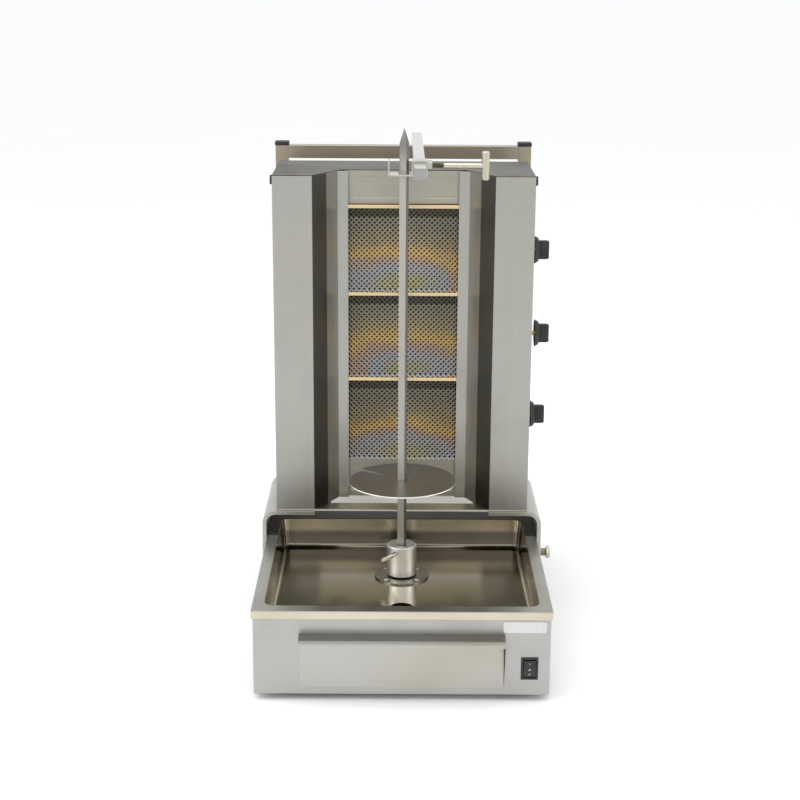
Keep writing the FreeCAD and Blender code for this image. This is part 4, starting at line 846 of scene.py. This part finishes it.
def make_lock_knob():
    """The knob that fixes the heater: stud, washer, nut and a knurled disc."""
    low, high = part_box("lock_knob")
    joint = Vector(JOINTS["lock_knob_turn"]["pos_m"])
    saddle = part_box("bracket_right")[1].x + 0.2 * MM
    where = lambda x: (x, joint.y, joint.z)
    stud = soften(cylinder("stud", 4 * MM, where(low.x), (1, 0, 0), high.x - low.x - 1 * MM, 32), 0.5 * MM)
    washer = soften(cylinder("washer", 8 * MM, where(saddle), (1, 0, 0), 2 * MM, 40), 0.4 * MM)
    nut = hexagon_head("nut", 12.4 * MM, where(saddle + 2 * MM), (1, 0, 0), 9.6 * MM)
    for metal, material in ((stud, DARK_ZINC), (washer, BRIGHT), (nut, DARK_ZINC)):
        metal.data.materials.append(material)
    disc = cylinder("disc", 11.4 * MM, where(high.x - 7 * MM), (1, 0, 0), 7 * MM, 96)
    for vertex in disc.data.vertices:
        spot = vertex.co - joint
        angle = math.atan2(spot.z, spot.y)
        if math.hypot(spot.y, spot.z) > 5 * MM:
            reach = 1 + 0.045 * math.cos(24 * angle)
            vertex.co.y, vertex.co.z = joint.y + spot.y * reach, joint.z + spot.z * reach
    with editing(disc, "FACE"):
        select(disc, "faces", facing((1, 0, 0)))
        bpy.ops.mesh.inset(thickness=2.4 * MM)
        bpy.ops.transform.translate(value=(-1.2 * MM, 0, 0))
    soften(disc, 0.5 * MM, 2, 40)
    disc.data.materials.append(HANDLE)
    finish_piece(unite("lock_knob_set", [stud, washer, nut, disc]), BRIGHT, "lock_knob")


# ---------------------------------------------------------------- spindle, skewer and disc

def make_hub():
    made_sheet("hub", HUB, 0.6 * MM, 3, "turning")
    made_sheet("shaft_flange", FLANGE, 0.5 * MM, 3, "plate")


def make_flange_screws():
    """Domed screws with a cross recess."""
    low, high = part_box("flange_screws")
    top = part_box("shaft_flange")[1].z
    radius = 4.6 * MM
    x, y = low.x + radius, low.y + radius
    bpy.ops.object.select_all(action="DESELECT")
    bpy.ops.mesh.primitive_uv_sphere_add(segments=32, ring_count=16, radius=1, location=(0, 0, 0))
    head = named("head")
    with editing(head, "VERT"):
        bpy.ops.mesh.select_all(action="SELECT")
        bpy.ops.mesh.bisect(plane_co=(0, 0, 0), plane_no=(0, 0, -1), clear_outer=True, use_fill=True)
    head.scale = (radius, radius, high.z - top)
    head.location = (x, y, top)
    activate(head)
    head = named("head")
    for turn in (0, RIGHT_ANGLE):
        bpy.ops.object.select_all(action="DESELECT")
        bpy.ops.mesh.primitive_cube_add(size=1, location=(x, y, high.z), rotation=(0, 0, turn + 0.4))
        bpy.context.active_object.scale = (5.0 * MM, 1.0 * MM, 2.2 * MM)
        slot = named("slot")
        modify(head, "BOOLEAN", operation="DIFFERENCE", object=slot, solver="EXACT")
        bpy.data.objects.remove(slot)
    shank = cylinder("shank", 2.5 * MM, (x, y, low.z), (0, 0, 1), top - low.z + 0.1 * MM, 20)
    screw = unite("screw", [smooth(head), soften(shank, 0.4 * MM)])
    screws = four_times(screw, low, high, radius)
    finish_piece(unite("flange_screws_set", screws), BRIGHT, "flange_screws")


def middle_of_selected(mesh):
    spots = [vertex.co for vertex in mesh.verts if vertex.select]
    return sum(spots, Vector()) / max(1, len(spots))


def make_wing_screw():
    """A round shank out of the hub that bends over into a flattened finger lever."""
    joint = JOINTS["wing_screw_turn"]
    out = Vector(joint["axis"])
    side = Vector((0, 0, 1)).cross(out).normalized()
    root, hub_radius, stand_off = 6.6 * MM, 26.75 * MM, 8 * MM
    start = Vector((0, 0, joint["pos_m"][2])) + out * root
    shank = cylinder("wing", 4 * MM, start, out, hub_radius - root + stand_off, 32)
    drop = math.radians(32)
    lever_way = Vector((0, 0, -math.sin(drop))) - side * math.cos(drop)
    with editing(shank, "FACE"):
        select(shank, "faces", facing(out, 0.95))
        bends = 7
        for step in range(bends):
            turn = (step + 0.5) / bends * RIGHT_ANGLE
            way = out * math.cos(turn) + lever_way * math.sin(turn)
            bpy.ops.mesh.extrude_region_move(TRANSFORM_OT_translate={"value": way * 1.5 * MM})
            mesh = bmesh.from_edit_mesh(shank.data)
            centre = middle_of_selected(mesh)
            quarter = Matrix.Rotation(RIGHT_ANGLE / bends, 4, out.cross(lever_way))
            for vertex in mesh.verts:
                if vertex.select:
                    vertex.co = centre + quarter @ (vertex.co - centre)
            bmesh.update_edit_mesh(shank.data)
        for length, squeeze in ((5, 1.0), (5, 0.92), (5, 0.86), (4, 0.72), (1.6, 0.5)):
            bpy.ops.mesh.extrude_region_move(TRANSFORM_OT_translate={"value": lever_way * length * MM})
            mesh = bmesh.from_edit_mesh(shank.data)
            centre = middle_of_selected(mesh)
            for vertex in mesh.verts:
                if vertex.select:
                    away = vertex.co - centre
                    vertex.co = centre + away + out * away.dot(out) * (squeeze - 1)
                    if squeeze < 0.8:
                        vertex.co = centre + (vertex.co - centre) * (0.9 if squeeze > 0.6 else 0.7)
            bmesh.update_edit_mesh(shank.data)
        bpy.ops.mesh.select_all(action="SELECT")
        bpy.ops.mesh.normals_make_consistent(inside=False)
    soften(shank, 0.4 * MM, 2, 35)
    shank.name = shank.data.name = "wing_screw_lever"
    finish_piece(shank, BRIGHT, "wing_screw")


def make_skewer():
    made_sheet("skewer", SKEWER, 0.7 * MM, 3, "bar")
    made_sheet("disc_pin", BRIGHT, 0.5 * MM, 3, "rod")


def make_disc():
    """A round plate slit once from its middle to its rim, with the front side of the slit bent down."""
    low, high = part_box("meat_disc")
    outer, inner = (high.x - low.x) / 2 + 0.05 * MM, 8.98 * MM
    slit, bent = math.radians(140), math.radians(65)
    gap, droop = 0.9 * MM, 4.5 * MM
    bpy.ops.object.select_all(action="DESELECT")
    bpy.ops.mesh.primitive_plane_add(size=1, location=(0, 0, 0))
    plate = named("disc")
    with editing(plate, "VERT"):
        bpy.ops.mesh.select_all(action="SELECT")
        bpy.ops.mesh.delete(type="VERT")
        mesh = bmesh.from_edit_mesh(plate.data)
        rings = 14
        line = [mesh.verts.new((inner + (outer - inner) * step / rings, gap / 2, low.z))
                for step in range(rings + 1)]
        for near, far in zip(line, line[1:]):
            mesh.edges.new((near, far))
        bmesh.update_edit_mesh(plate.data)
        bpy.ops.mesh.select_all(action="SELECT")
        bpy.ops.mesh.spin(steps=140, angle=2 * math.pi - gap / (outer * 0.6), center=(0, 0, low.z),
                          axis=(0, 0, 1))
        bpy.ops.mesh.select_all(action="SELECT")
        bpy.ops.mesh.remove_doubles(threshold=1e-7)
        bpy.ops.mesh.normals_make_consistent(inside=False)
    for vertex in plate.data.vertices:
        spot = vertex.co
        reach = (math.hypot(spot.x, spot.y) - inner) / (outer - inner)
        round_from_slit = math.atan2(spot.y, spot.x) % (2 * math.pi)
        fall = max(0.0, 1 - round_from_slit / bent) ** 2
        spot.z -= droop * fall * reach ** 1.2
    plate.data.transform(Matrix.Rotation(slit, 4, "Z"))
    modify(plate, "SOLIDIFY", thickness=high.z - low.z, offset=1)
    top_faces = [face for face in plate.data.polygons if face.center.z > high.z - 0.2 * MM]
    if sum(face.normal.z * face.area for face in top_faces) < 0:
        plate.data.flip_normals()
    soften(plate, 0.35 * MM, 2, 50)
    plate.name = plate.data.name = "meat_disc_plate"
    finish_piece(plate, DISC, "meat_disc")


# ---------------------------------------------------------------- rear frame, arm and clamp

def make_frame():
    for node, material, width in (
            ("post_left", FRAME_STEEL, 1.6), ("post_right", FRAME_STEEL, 1.6), ("crossbar", CROSS_STEEL, 1.4),
            ("arm", ARM_STEEL, 1.8), ("end_caps", BLACK, 1.2)):
        made_sheet(node, material, width * MM, 3, "tube" if node != "end_caps" else "moulding")


def make_clamp():
    """The sleeve and stirrup, with small weld beads where they meet."""
    sleeve = soften(sheet_copy("clamp_sleeve", "fabrication"), 0.6 * MM, 3)
    low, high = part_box("clamp_sleeve")
    corner = Vector((low.x - 0.2 * MM, low.y + 4 * MM, low.z + 4.6 * MM))
    bead = cylinder("bead", 1.3 * MM, corner, (0, 1, 0), high.y - low.y - 8 * MM, 14)
    with editing(bead, "EDGE"):
        bpy.ops.mesh.select_all(action="SELECT")
        bpy.ops.mesh.subdivide(number_cuts=9)
    for vertex in bead.data.vertices:
        ripple = 1 + 0.18 * math.sin(vertex.co.y / MM * 2.4)
        centre = Vector((corner.x, vertex.co.y, corner.z))
        vertex.co = centre + (vertex.co - centre) * ripple
    finish_piece(unite("clamp_sleeve_fabrication", [sleeve, smooth(bead)]), CLAMP, "clamp_sleeve")
    made_sheet("stirrup", CLAMP, 0.7 * MM, 3, "bracket")


def make_clamp_screw():
    """A plain rod with a threaded end and a round cross handle."""
    low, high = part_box("clamp_screw")
    joint = Vector(JOINTS["clamp_screw_turn"]["pos_m"])
    handle_radius = 6.8 * MM
    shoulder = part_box("clamp_sleeve")[1].x + 20 * MM
    rod_end = high.x - handle_radius * 1.5
    at = lambda x: (x, joint.y, joint.z)
    rod = cylinder("rod", 4.7 * MM, at(shoulder), (1, 0, 0), rod_end - shoulder + 5 * MM, 40)
    soften(rod, 0.6 * MM)
    rod.data.materials.append(HANDLE)
    core = soften(cylinder("core", 3.5 * MM, at(low.x), (1, 0, 0), shoulder - low.x, 32), 0.5 * MM)
    core.data.materials.append(DARK_ZINC)
    pitch = 1.25 * MM
    bpy.ops.object.select_all(action="DESELECT")
    bpy.ops.mesh.primitive_circle_add(vertices=3, radius=0.72 * MM, fill_type="NGON",
                                      location=(3.72 * MM, 0, 0), rotation=(RIGHT_ANGLE, RIGHT_ANGLE, 0))
    thread = named("thread")
    turns = int((shoulder - low.x - 2 * pitch) / pitch)
    modify(thread, "SCREW", angle=2 * math.pi * turns, screw_offset=pitch * turns, steps=20 * turns,
           render_steps=20 * turns, axis="Z", use_merge_vertices=False)
    with editing(thread, "FACE"):
        bpy.ops.mesh.select_all(action="SELECT")
        bpy.ops.mesh.normals_make_consistent(inside=False)
    along_rod = Matrix.Rotation(RIGHT_ANGLE, 4, "Y")
    thread.data.transform(Matrix.Translation(Vector(at(low.x + pitch))) @ along_rod)
    thread.data.materials.append(DARK_ZINC)
    handle = cylinder("handle", handle_radius, (rod_end + handle_radius / 2, joint.y, low.z), (0, 0, 1),
                      high.z - low.z, 40)
    handle.data.materials.append(HANDLE)
    soften(handle, 3.2 * MM, 6, 50)
    finish_piece(unite("clamp_screw_set", [rod, core, thread, handle]), HANDLE, "clamp_screw")


# ---------------------------------------------------------------- pieces that stay as drawn

def dress_hidden():
    """Inner pieces keep the solids' shape and get their own finish."""
    for material, nodes in (
            (MOTOR, ("gear_motor", "gearbox")), (GALVANISED, ("motor_bracket", "drawer_runners")),
            (FOOT, ("shaft_seal",)), (CASE, ("burner_bodies",)), (TILE, ("burner_tiles",)),
            (BRASS, ("gas_valves", "thermocouples", *(f"valve_stem_{place}" for place in BURNERS))),
            (PIPE, ("gas_manifold", "feed_pipes")), (BRIGHT, ("drive_shaft",))):
        for node in nodes:
            solid = frame["nodes"][node]
            solid.data.materials.clear()
            solid.data.materials.append(material)


# ---------------------------------------------------------------- room, light and camera

def make_room():
    """A wide pale floor that runs out of sight."""
    bpy.ops.object.select_all(action="DESELECT")
    bpy.ops.mesh.primitive_plane_add(size=120, location=(0, 0, -0.2 * MM))
    floor = named("floor")
    pale = Finish("pale_floor")
    cloud = pale.noise(0.8, 3.0)
    floor.data.materials.append(pale.surface(Base_Color=pale.shaded((0.93, 0.93, 0.93), 0.985 + 0.03 * cloud),
                                             Roughness=0.9))


def soft_light(name, place, target, size, power):
    light = bpy.data.lights.new(name, "AREA")
    light.shape, light.size, light.size_y, light.energy = "RECTANGLE", size[0], size[1], power
    lamp = bpy.data.objects.new(name, light)
    lamp.location = place
    lamp.rotation_euler = (Vector(target) - Vector(place)).to_track_quat("-Z", "Y").to_euler()
    bpy.context.scene.collection.objects.link(lamp)


def make_light():
    world = bpy.data.worlds.new("studio")
    bpy.context.scene.world = world
    world.use_nodes = True
    world.node_tree.nodes["Background"].inputs["Color"].default_value = (0.98, 0.99, 1.0, 1)
    world.node_tree.nodes["Background"].inputs["Strength"].default_value = 1.05
    soft_light("ceiling_softbox", (-0.4, -0.6, 3.2), (0, 0, 0.4), (3.0, 3.0), 38)
    soft_light("left_softbox", (-2.8, -1.6, 1.8), (0, 0, 0.4), (1.6, 2.2), 26)
    soft_light("right_softbox", (2.8, -1.2, 1.6), (0, 0, 0.4), (1.2, 2.0), 12)


def make_camera():
    pitch, yaw, roll = math.radians(15.687), math.radians(-0.15), math.radians(0.355)
    across = Vector((math.cos(yaw), math.sin(yaw), 0))
    ahead = Vector((-math.sin(yaw), math.cos(yaw), 0))
    up = ahead * math.sin(pitch) + Vector((0, 0, math.cos(pitch)))
    right = across * math.cos(roll) + up * math.sin(roll)
    above = up * math.cos(roll) - across * math.sin(roll)
    lens = bpy.data.cameras.new("camera")
    lens.sensor_width, lens.lens, lens.clip_end = 36, 72.5, 200
    camera = bpy.data.objects.new("camera", lens)
    camera.matrix_world = Matrix.Translation((-0.012, -2.764, 1.217)) @ Matrix(
        (right, above, right.cross(above))).transposed().to_4x4()
    bpy.context.scene.collection.objects.link(camera)
    bpy.context.scene.camera = camera


make_base()
make_feet()
make_rocker()
make_badge_screws()
make_heater()
make_ledge()
make_burner_panels()
make_guards()
make_knobs()
make_plugs()
make_guide_bolts()
make_lock_knob()
make_hub()
make_flange_screws()
make_wing_screw()
make_skewer()
make_disc()
make_frame()
make_clamp()
make_clamp_screw()
dress_hidden()
make_room()
make_light()
make_camera()
bpy.context.scene.view_settings.view_transform = "Standard"
